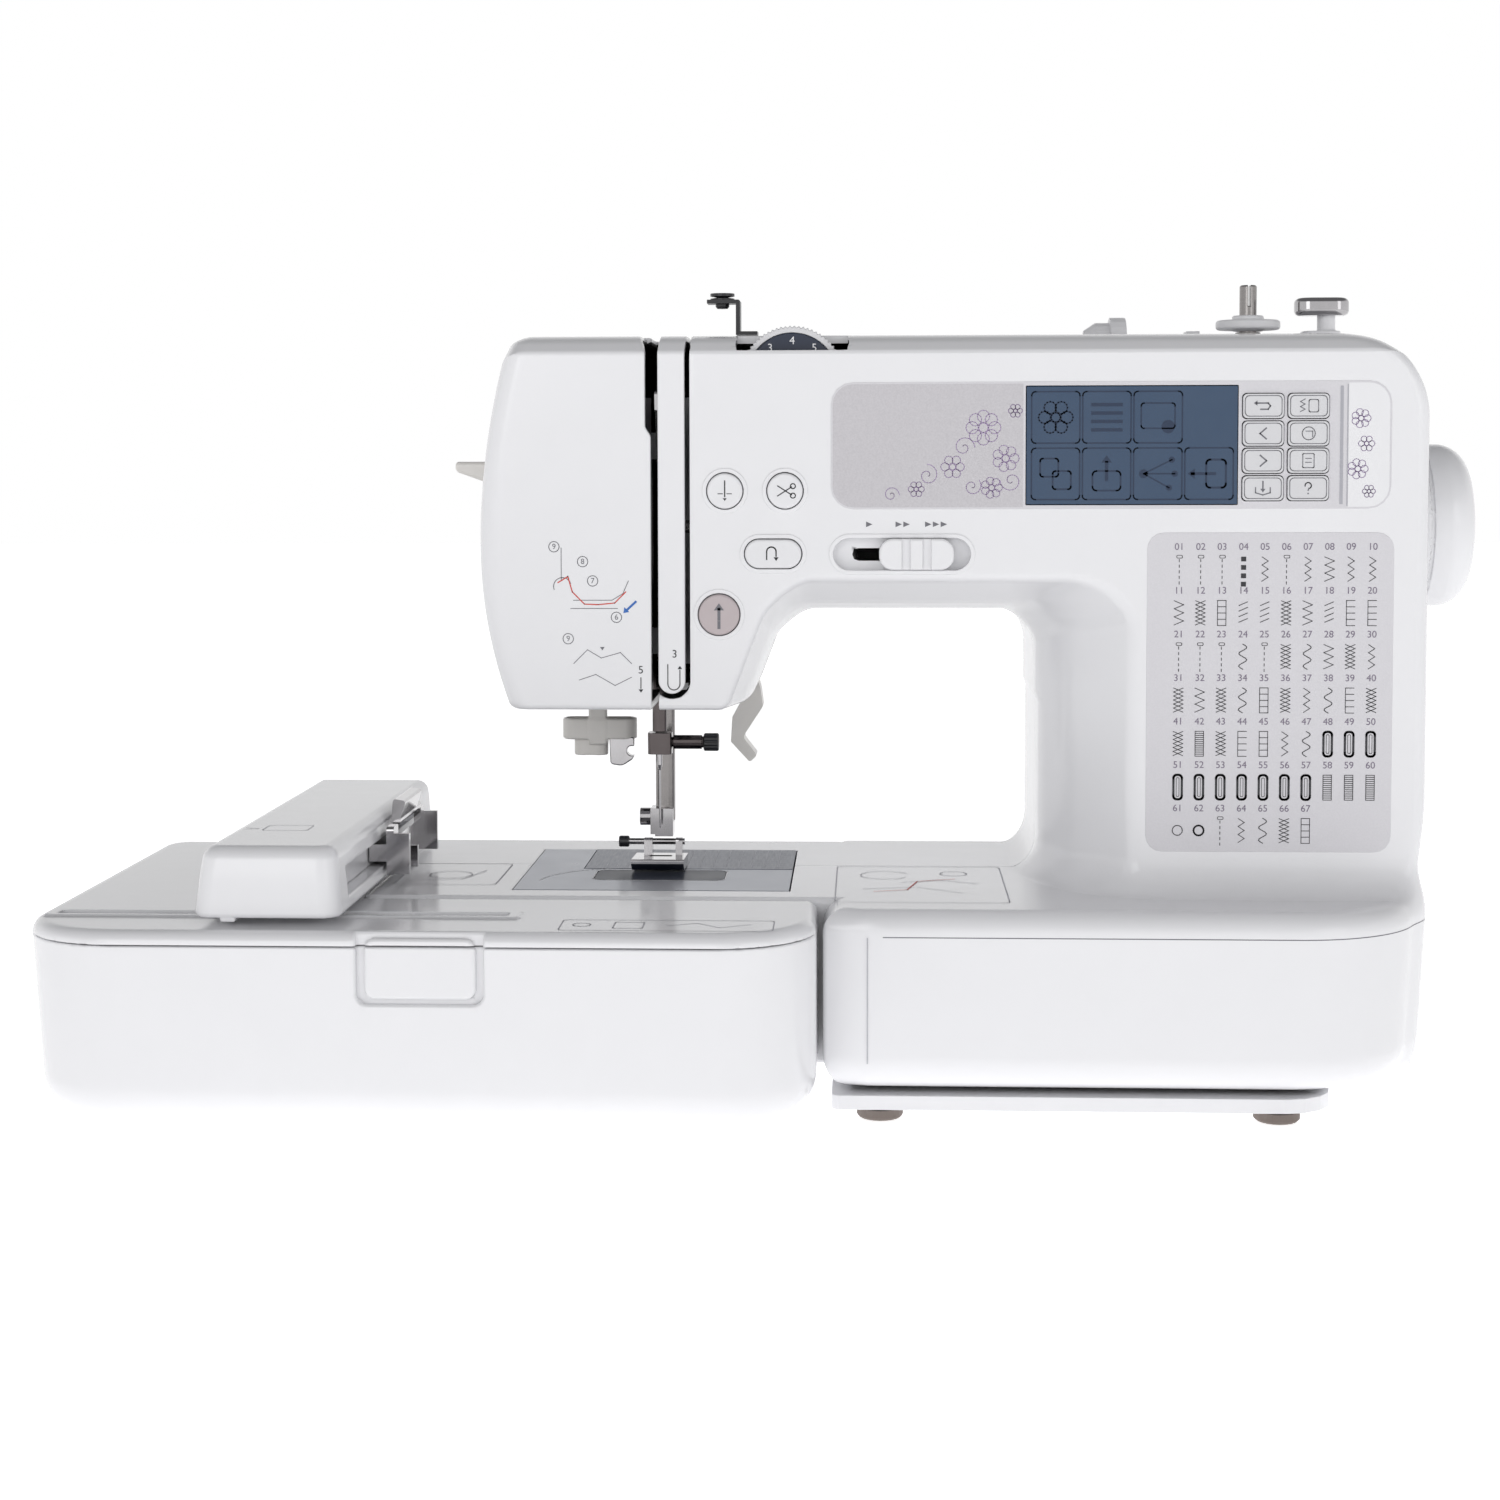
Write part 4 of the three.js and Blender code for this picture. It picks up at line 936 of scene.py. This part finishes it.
class Ink:
    """Flat marks printed on one face, drawn about a middle in the face's two directions."""

    def __init__(self, place, middle=(0, 0)):
        self.place = place
        self.middle = middle
        self.vertices = []
        self.faces = []

    def at(self, u, v):
        return self.place(self.middle[0] + u, self.middle[1] + v)

    def polygon(self, points):
        start = len(self.vertices)
        self.vertices += [self.at(u, v) for u, v in points]
        self.faces.append(list(range(start, start + len(points))))

    def line(self, points, width=0.3, closed=False):
        if closed:
            points = list(points) + [points[0]]
        for (u0, v0), (u1, v1) in zip(points, points[1:]):
            length = math.hypot(u1 - u0, v1 - v0) or 1e-6
            du, dv = (u1 - u0) / length * width / 2, (v1 - v0) / length * width / 2
            self.polygon([
                (u0 - du + dv, v0 - dv - du), (u1 + du + dv, v1 + dv - du),
                (u1 + du - dv, v1 + dv + du), (u0 - du - dv, v0 - dv + du),
            ])

    def arc(self, u, v, radius, start=0, end=360, width=0.3, steps=20):
        turns = [start + (end - start) * i / steps for i in range(steps + 1)]
        self.line([spoke(u, v, radius, turn) for turn in turns], width)

    def disc(self, u, v, radius, steps=16):
        self.polygon([spoke(u, v, radius, 360 * i / steps) for i in range(steps)])

    def frame(self, box, radius, width=0.3):
        u0, u1, v0, v1 = box
        points = []
        for u, v, start in ((u1 - radius, v1 - radius, 0), (u0 + radius, v1 - radius, 90),
                            (u0 + radius, v0 + radius, 180), (u1 - radius, v0 + radius, 270)):
            points += [spoke(u, v, radius, start + 22.5 * i) for i in range(5)]
        self.line(points, width, closed=True)

    def arrow(self, u, v, du, dv, head=1.3):
        """A filled arrow head at (u, v) pointing along (du, dv)."""
        side = head * 0.7
        self.polygon([(u + du * head, v + dv * head), (u - dv * side, v + du * side),
                      (u + dv * side, v - du * side)])

    def rosette(self, u, v, size, petals, width=0.22):
        for i in range(petals):
            petal = spoke(u, v, size * 0.62, 360 * i / petals)
            self.arc(*petal, size * 0.34, width=width, steps=12)
        self.arc(u, v, size * 0.26, width=width, steps=12)

    def scroll(self, u, v, size, start, way):
        """A spiral that closes in as it turns; way is 1 or -1."""
        self.line([spoke(u, v, size * (1 - i / 28), start + way * i * 20) for i in range(26)], 0.22)

    def number(self, u, v, digits, size):
        curve = bpy.data.curves.new("digits", "FONT")
        curve.body = digits
        curve.size = size
        curve.align_x = "CENTER"
        curve.align_y = "CENTER"
        holder = bpy.data.objects.new("digits", curve)
        mesh = holder.to_mesh()
        start = len(self.vertices)
        self.vertices += [self.at(u + p.co.x, v + p.co.y) for p in mesh.vertices]
        self.faces += [[start + i for i in face.vertices] for face in mesh.polygons]
        holder.to_mesh_clear()
        bpy.data.objects.remove(holder)
        bpy.data.curves.remove(curve)

    def apply(self, name, material, slot="black_plastic", body_name="machine_body"):
        mesh = bpy.data.meshes.new(name)
        mesh.from_pydata(to_row(self.vertices).tolist(), [], self.faces)
        return finish_piece(add_object(name, mesh), body_name, material)


def on_front(y):
    return lambda u, v: (u, y, v)


def on_top(z):
    return lambda u, v: (u, v, z)


def mark(node, lift=0.07):
    """Ink on the front of a node, drawn about its middle, and half the node's size."""
    low, high = span(node)
    middle, half = (low + high) / 2, (high - low) / 2
    return Ink(on_front(low[1] - lift), (middle[0], middle[2])), half


# the printed label, the trim plate and their own flower pattern
PLATE_FACE = span("control_panel")[0][1]
PLATE_LOW, PLATE_HIGH, PLATE_CORNER = 214.5, 258.7, 7.4


def plate_film(name, near, far, material):
    """A filled plate between two sides, with round corners on the near one."""
    side = 1 if near > far else -1
    points = [(far, PLATE_HIGH), (far, PLATE_LOW)]
    for v, first in ((PLATE_LOW + PLATE_CORNER, -90), (PLATE_HIGH - PLATE_CORNER, 0)):
        for i in range(7):
            reach, up = spoke(0, v, PLATE_CORNER, first + 15 * i)
            points.append((near - side * PLATE_CORNER + side * reach, up))
    ink = Ink(on_front(PLATE_FACE - 0.04))
    ink.polygon(points)
    ink.apply(name, material, "silver_panel")


plate_film("label_film", 65, 133.2, LABEL)
plate_film("trim_film", 263.2, 248.6, WHITE)
PLATE = on_front(PLATE_FACE - 0.1)
flowers = Ink(PLATE)
for flower in ((119, 243, 6.5, 8), (127, 232, 5, 7), (108, 229, 4.4, 6),
               (122, 221.5, 4, 7), (95, 221, 3, 6), (130.4, 249, 2.6, 6)):
    flowers.rosette(*flower)
for tendril in ((112, 236, 4, 0, 1), (99, 226, 4, 90, -1), (86, 219, 3, 0, 1),
                (129, 224, 4, 180, 1), (115, 222, 3.4, 40, -1)):
    flowers.scroll(*tendril)
for flower in ((253, 246, 3.6, 7), (255, 237, 3, 6), (252, 228, 3.8, 7), (256, 220, 2.4, 6)):
    flowers.rosette(*flower)
flowers.apply("panel_flowers", INK_VIOLET, "silver_panel")

trim = Ink(PLATE)
trim.line([(246.2, 216), (246.2, 257)], 1.1)
trim.line([(248.3, 215), (248.3, 258)], 0.35)
trim.apply("panel_lines", INK_PALE, "silver_panel")

# screen icons
icons = Ink(on_front(span("lcd_screen")[0][1] - 0.06))
ICON_WIDE, ICON_HIGH = 17.2, 18.4
for row, count in ((0, 3), (1, 4)):
    for column in range(count):
        u0, v0 = 136.2 + 18.2 * column, 237.4 - 20.2 * row
        icons.middle = (u0 + ICON_WIDE / 2, v0 + ICON_HIGH / 2)
        icons.frame((-ICON_WIDE / 2, ICON_WIDE / 2, -ICON_HIGH / 2, ICON_HIGH / 2), 1.4, 0.5)
        if (row, column) == (0, 0):
            icons.rosette(0, 0, 6.4, 6, 0.5)
        elif (row, column) == (0, 1):
            for bar in (-4.5, -1.5, 1.5, 4.5):
                icons.line([(-5, bar), (5, bar)], 1.2)
        elif (row, column) == (0, 2):
            icons.frame((-6, 6, -4, 5), 1, 0.5)
            icons.disc(3.6, -3.4, 2.4)
        elif (row, column) == (1, 0):
            icons.frame((-5.5, 1, -1, 5.5), 1, 0.6)
            icons.frame((-1, 5.5, -5.5, 1), 1, 0.6)
        elif (row, column) == (1, 1):
            icons.frame((-5, 5, -6, 1), 1.4, 0.6)
            icons.line([(0, -2), (0, 4)], 1.2)
            icons.arrow(0, 4, 0, 1, 2.6)
        elif (row, column) == (1, 2):
            for end in ((5, 5), (6, 0), (4, -5)):
                icons.line([(-5, 0), end], 0.5)
                icons.disc(*end, 1.1)
            icons.disc(-5, 0, 1.6)
        else:
            icons.frame((-1, 6, -5, 5), 1.4, 0.7)
            icons.line([(-6, 0), (2, 0)], 1)
            icons.arrow(-5, 0, -1, 0, 2.6)
icons.apply("screen_icons", INK_SCREEN, "display")

# keys
KEY_MARGIN = 0.7
for key_node in KEYS:
    ink, half = mark(key_node, 0.06)
    half_u, half_v = half[0] - KEY_MARGIN, half[2] - KEY_MARGIN
    ink.frame((-half_u, half_u, -half_v, half_v), 1.5, 0.28)
    if key_node == "back_key":
        ink.line([(-2.4, 1), (1.6, 1), (2.4, 0), (1.6, -1.2), (-1, -1.2)], 0.5)
        ink.arrow(-2.2, 1, -1, 0)
    elif key_node in ("left_arrow_key", "right_arrow_key"):
        way = -1 if key_node == "left_arrow_key" else 1
        ink.line([(-way, 1.9), (1.2 * way, 0), (-way, -1.9)], 0.5)
    elif key_node == "enter_key":
        ink.line([(-2.6, 0.2), (-2.6, -1.6), (0, -2.4), (2.6, -1.6), (2.6, 0.2)], 0.4)
        ink.arrow(0, -0.2, 0, -1)
        ink.line([(0, 2.4), (0, 0)], 0.5)
    elif key_node == "stitch_select_key":
        ink.line([(-3 if i % 2 else -1.4, 2.4 - 0.9 * i) for i in range(6)], 0.3)
        ink.frame((0, 3.4, -2.2, 2.2), 0.6, 0.3)
    elif key_node == "machine_settings_key":
        ink.arc(0, 0, 2.3)
        ink.line([(-1, 0.8), (1.4, 0.8), (1.4, -1.2)])
    elif key_node == "stitch_guide_key":
        ink.frame((-2, 2, -2.5, 2.5), 0.4, 0.3)
        ink.line([(-1, 0.8), (1, 0.8)])
        ink.line([(-1, -0.6), (1, -0.6)])
    else:
        ink.arc(0, 0.9, 1.1, -60, 190, 0.4, 12)
        ink.line([(0.3, 0), (0, -0.8)], 0.4)
        ink.disc(0, -1.9, 0.3)
    ink.apply(key_node + "_icon", INK_GREY, body_name=key_node)

# buttons
ink, _ = mark("needle_position_button")
ink.line([(0, 3.6), (0, -2)], 0.45)
ink.line([(-2.4, -1), (-0.8, -1)])
ink.line([(0.8, -1), (2.4, -1)])
ink.arrow(0, -2.6, 0, -1, 1.0)
ink.apply("needle_icon", INK_BLACK, body_name="needle_position_button")
ink, _ = mark("thread_cutter_button")
ink.line([(-2.6, 1.8), (2.4, -1.4)], 0.4)
ink.line([(-2.6, -1.8), (2.4, 1.4)], 0.4)
ink.arc(2.9, 1.7, 0.9, width=0.35, steps=12)
ink.arc(2.9, -1.7, 0.9, width=0.35, steps=12)
ink.apply("cutter_icon", INK_BLACK, body_name="thread_cutter_button")
ink, _ = mark("reverse_button")
ink.arc(-0.6, 0.8, 1.7, 0, 180, 0.45, 12)
ink.line([(-2.3, 0.8), (-2.3, -2)], 0.45)
ink.line([(1.1, 0.8), (1.1, -0.8)], 0.45)
ink.arrow(1.1, -1.2, 0, -1)
ink.apply("reverse_icon", INK_BLACK, body_name="reverse_button")
ink, _ = mark("start_stop_button")
ink.arrow(0, 1.6, 0, 1, 2.6)
ink.line([(0, 2), (0, -1.6)], 1.1)
ink.line([(0, -2.8), (0, -4.6)], 1.1)
ink.apply("start_icon", INK_GREY, body_name="start_stop_button")

# marks on the covers
front_ink = Ink(on_front(FRONT - 0.08))
for node in BUTTONS:
    box = control_box(node, 0.6)
    front_ink.frame(box, (box[3] - box[2]) / 2, 0.3)
for start_u, count in ((77, 1), (87.6, 2), (98.2, 3)):
    for i in range(count):
        u = start_u + 2.8 * i
        front_ink.polygon([(u, 209.4), (u + 2.3, 208.4), (u, 207.4)])
front_ink.apply("front_marks", INK_GREY)

strip_ink = Ink(on_front(strip_low[1] - 0.08))
strip_ink.number(7.7, 161.4, "3", 4)
strip_ink.line([(5.2, 157.6), (5.2, 150.6)], 0.35)
strip_ink.arc(7.4, 150.6, 2.2, 180, 360, 0.35, 10)
strip_ink.line([(9.6, 150.6), (9.6, 155.6)], 0.35)
strip_ink.arrow(9.6, 156, 0, 1, 1.2)
strip_ink.number(-4.6, 155.6, "5", 4)
strip_ink.line([(-4.6, 152.8), (-4.6, 149)], 0.35)
strip_ink.arrow(-4.6, 148.6, 0, -1, 1.2)
strip_ink.apply("slot_marks", INK_BLACK)

face_ink = Ink(on_front(FRONT - 0.08))
THREADING_STEPS = (
    ("9", -36, 200.4), ("8", -25.6, 195), ("7", -22, 188), ("6", -13.4, 174.8), ("9", -31, 167),
)
for number, u, v in THREADING_STEPS:
    face_ink.arc(u, v, 1.9, width=0.25, steps=16)
    face_ink.number(u, v, number, 2.8)
face_ink.line([(-33.4, 200), (-33.4, 188)], 0.25)
face_ink.arc(-33, 186, 3.2, 20, 200, 0.25)
for path in ([(-29, 181), (-15, 181), (-11, 183.4), (-9, 188)], [(-30, 178), (-13, 178)],
             [(-29, 158), (-24, 163), (-19, 160), (-12, 162), (-8, 158)],
             [(-27, 152), (-21, 154), (-14, 150), (-8, 153)]):
    face_ink.line(path, 0.25)
face_ink.arrow(-18.6, 164, 0, -1, 1.2)
face_ink.apply("threading_lines", INK_GREY)
red_ink = Ink(on_front(FRONT - 0.1))
red_ink.line([(-34.6, 187.4), (-31, 189.6), (-29.4, 184), (-25, 179.6), (-20, 179.4), (-14, 180),
              (-10, 184)], 0.4)
red_ink.apply("threading_thread", INK_RED)
blue_ink = Ink(on_front(FRONT - 0.1))
blue_ink.arrow(-9.6, 177.6, -0.7, -0.7, 1.8)
blue_ink.line([(-6.4, 180.4), (-9.2, 177.8)], 0.8)
blue_ink.apply("threading_arrow", INK_BLUE)

# stitch chart
CHART_INK = on_front(span("stitch_chart_plate")[0][1] - 0.08)


def stitch(ink, kind):
    """One stitch symbol, 4 wide and 9 high, about the ink's middle."""
    steps = [4.5 - i for i in range(10)]
    if kind == "dash":
        for top in steps[1::2]:
            ink.line([(0, top), (0, top - 0.8)], 0.28)
        ink.frame((-0.9, 1.1, 4, 5), 0.4, 0.2)
    elif kind == "block":
        for top in steps[::3]:
            ink.polygon([(-0.9, top), (0.9, top), (0.9, top - 1.7), (-0.9, top - 1.7)])
    elif kind in ("zig", "wide", "cross"):
        reach = 1.1 if kind == "zig" else 1.7
        points = [(reach if i % 2 else -reach, 4.4 - 1.45 * i) for i in range(7)]
        ink.line(points, 0.26)
        if kind == "cross":
            ink.line([(-across, up) for across, up in points], 0.26)
    elif kind in ("comb", "ladder", "dense"):
        for rail in (-1.5,) if kind == "comb" else (-1.5, 1.5):
            ink.line([(rail, 4.5), (rail, -4.5)], 0.24)
        count = 13 if kind == "dense" else 5
        for i in range(count):
            up = 4.5 - 9 * i / (count - 1)
            ink.line([(-1.5, up), (1.5, up)], 0.26)
    elif kind == "hatch":
        for up in steps[1:-1:2]:
            ink.line([(-1.5, up - 0.8), (1.5, up + 0.5)], 0.28)
    elif kind == "wave":
        ink.line([(1.4 * math.sin(i * 0.7), 4.5 - i * 0.5) for i in range(19)], 0.3)
    elif kind == "hole":
        ink.frame((-1.5, 1.5, -4.4, 4.4), 1.2, 0.8)
        ink.frame((-0.5, 0.5, -3.4, 3.4), 0.4, 0.2)
    else:
        ink.arc(0, 0, 1.8, width=0.6 if kind == "ring" else 0.3, steps=16)


CHART_ROWS = (
    "dash dash dash block zig dash zig wide zig zig",
    "wide cross ladder hatch hatch cross wide hatch comb comb",
    "dash dash dash wave dash cross wave wide cross zig",
    "cross wide cross wave ladder cross zig wave comb cross",
    "cross dense cross comb ladder zig wave hole hole hole",
    "hole hole hole hole hole hole hole dense dense dense",
    "eyelet ring dash zig wave cross ladder",
)
numbers = Ink(CHART_INK)
symbols = Ink(CHART_INK)
index = 0
for row, kinds in enumerate(CHART_ROWS):
    for column, kind in enumerate(kinds.split()):
        index += 1
        u, v = 189.1 + 7.62 * column, 200.2 - 15.7 * row
        numbers.number(u, v, f"{index:02d}", 3.5)
        symbols.middle = (u, v - 8)
        stitch(symbols, kind)
numbers.apply("chart_numbers", INK_NUMBER, "silver_panel")
symbols.apply("chart_symbols", INK_BLACK)

# dial digits
dial_ink = Ink(on_front(DIAL_Y + 0.8))
for digit in range(10):
    dial_ink.number(*spoke(*DIAL, 13.6, 90 + 36 * (4 - digit)), str(digit), 4)
dial_ink.apply("dial_digits", INK_WHITE, "dial_plastic", "tension_dial")

# the seam round the base, laid on its surface
def on_body(middle, direction):
    """Where a level ray from middle leaves the body, and 0.06 mm beyond."""
    near, far = 0.0, 300.0
    for _ in range(40):
        reach = (near + far) / 2
        if body(*(np.array(middle) + reach * np.array(direction)).reshape(3, 1))[0] < 0:
            near = reach
        else:
            far = reach
    return np.array(middle) + (near + 0.06) * np.array(direction)


def seam_strip(name, height, thickness, first, last, steps):
    vertices, faces = [], []
    for i in range(steps + 1):
        across = spoke(0, 0, 1, first + (last - first) * i / steps)
        for z in (height - thickness / 2, height + thickness / 2):
            vertices.append(on_body((175, -20, z), (*across, 0)))
    for i in range(steps):
        faces.append([2 * i, 2 * i + 2, 2 * i + 3, 2 * i + 1])
    return finish_piece(mesh_from(name, np.array(vertices), faces), "machine_body", INK_GREY)


seam_strip("base_seam", 66.3, 0.35, -142, 8, 120)
# painted shade: a grey line along the crease where the base's front face turns in at its left corner
crease_shade_ink = Ink(on_front(BASE_FRONT - 0.06))
crease_shade_ink.line([(BASE_LEFT + 15.5, 66), (BASE_LEFT + 15.5, 22)])
crease_shade_ink.apply("base_crease_shade", INK_PALE, "white_cover")

# bed plates
grid = Ink(on_top(span("needle_plate")[1][2] + 0.04))
for i in range(8):
    grid.line([(8 + 5 * i, 3), (8 + 5 * i, 42)], 0.25)
for i in range(8):
    grid.line([(8, 4 + 5 * i), (46, 4 + 5 * i)], 0.25)
for i in range(5):
    grid.line([(-27 + 4 * i, 3), (-27 + 4 * i, 10)], 0.25)
grid.apply("plate_grid", INK_PALE, "needle_plate_steel")
cover_ink = Ink(on_top(span("plate_cover")[1][2] + 0.04))
cover_ink.frame((-25.4, 24.4, -28.4, -5.1), 4.4, 0.5)
cover_ink.arc(-12, -34, 33, 95, 172, 0.6)
cover_ink.apply("cover_line", INK_WHITE, "plate_cover_plastic")
sticker = Ink(on_top(BED + 0.18))
sticker.frame((66, 128, -72, 6), 3, 0.4)
sticker.arc(84, -14, 9, 20, 330, 0.4)
sticker.line([(90, -30), (104, -24), (118, -32)], 0.4)
sticker.line([(76, -44), (96, -40), (112, -52)], 0.4)
sticker.arc(110, -10, 5, width=0.4)
sticker.apply("bed_diagram", INK_PALE)
thread_mark = Ink(on_top(BED + 0.2))
thread_mark.line([(80, -50), (92, -46), (96, -28), (110, -22)], 0.5)
thread_mark.apply("bed_thread", INK_RED)
arm_sticker = Ink(on_top(BED + 0.18))
arm_sticker.frame((-98, -60, -40, 8), 3, 0.4)
arm_sticker.arc(-80, -18, 8, width=0.4)
arm_sticker.line([(-90, -30), (-74, -28), (-68, -8)], 0.4)
arm_sticker.apply("arm_diagram", INK_PALE)
unit_sticker = Ink(on_top(UNIT_TOP + 0.08))
unit_sticker.frame((-26, 46, -127, -108), 2, 0.4)
unit_sticker.frame((-8, 2, -123, -112), 1, 0.4)
unit_sticker.line([(10, -118), (20, -113), (28, -121), (38, -115)], 0.4)
unit_sticker.arc(-19, -117, 3, width=0.4)
unit_sticker.apply("unit_diagram", INK_PALE, body_name="embroidery_unit")
carriage_ink = Ink(on_top(CAR[5] + 0.08))
carriage_ink.frame((-136, -120, -84, -72), 1.4)
carriage_ink.line([(-143, -82), (-138, -80)])
carriage_ink.line([(-143, -78), (-138, -80)])
carriage_ink.apply("carriage_mark", INK_PALE, "grey_plastic", "carriage")

# ---- camera, light, floor
camera_data = bpy.data.cameras.new("camera")
camera_data.sensor_width = 36
camera_data.lens = 60
camera_data.shift_y = -0.096
camera_data.clip_end = 20
camera = add_object("camera", camera_data)
bpy.context.scene.camera = camera
EYE = (77.6, -951.4, 231.6)
YAW, PITCH, ROLL = math.radians(2.70), math.radians(3.34), math.radians(-0.13)
turn = Matrix.Rotation(YAW, 4, "Z") @ Matrix.Rotation(math.pi / 2 - PITCH, 4, "X")
turn @= Matrix.Rotation(ROLL, 4, "Z")
camera.matrix_world = Matrix.Translation(to_row(EYE)) @ turn

world = bpy.data.worlds.new("studio")
bpy.context.scene.world = world
world.use_nodes = True
sky, sky_links = world.node_tree.nodes, world.node_tree.links
direction = sky.new("ShaderNodeTexCoord")
split = sky.new("ShaderNodeSeparateXYZ")
fade = sky.new("ShaderNodeValToRGB")
fade.color_ramp.elements[0].position = 0.30
fade.color_ramp.elements[0].color = (1, 1, 1, 1)
fade.color_ramp.elements[1].position = 0.58
fade.color_ramp.elements[1].color = (0.22, 0.22, 0.225, 1)
sky_links.new(direction.outputs["Generated"], split.inputs["Vector"])
sky_links.new(split.outputs["Z"], fade.inputs["Fac"])
sky_links.new(fade.outputs["Color"], sky["Background"].inputs["Color"])
sky["Background"].inputs["Strength"].default_value = 1.0
bpy.context.scene.view_settings.view_transform = "Standard"


def softbox(name, place, target, size, power):
    data = bpy.data.lights.new(name, "AREA")
    data.shape = "RECTANGLE"
    data.size, data.size_y = size
    data.energy = power
    lamp = add_object(name, data)
    lamp.location = place
    aim = Vector(target) - Vector(place)
    lamp.rotation_euler = aim.to_track_quat("-Z", "Y").to_euler()


softbox("key_box", (-0.7, -1.7, 0.75), (0, 0, 0.12), (0.9, 0.9), 4)
softbox("fill_box", (1.2, -1.3, 0.7), (0, 0, 0.15), (0.7, 0.9), 2)

floor_mesh = bpy.data.meshes.new("floor")
EXTENT = 6.0
floor_mesh.from_pydata(
    [(-EXTENT, -EXTENT, 0), (EXTENT, -EXTENT, 0), (EXTENT, EXTENT, 0), (-EXTENT, EXTENT, 0)],
    [],
    [(0, 1, 2, 3)],
)
floor = add_object("floor", floor_mesh)
floor.location.z = -0.0005
FLOOR = plastic("pale_floor", (0.95, 0.95, 0.95), 0.9)
socket(FLOOR, "Emission Color").default_value = (1, 1, 1, 1)
socket(FLOOR, "Emission Strength").default_value = 0.72
floor_mesh.materials.append(FLOOR)
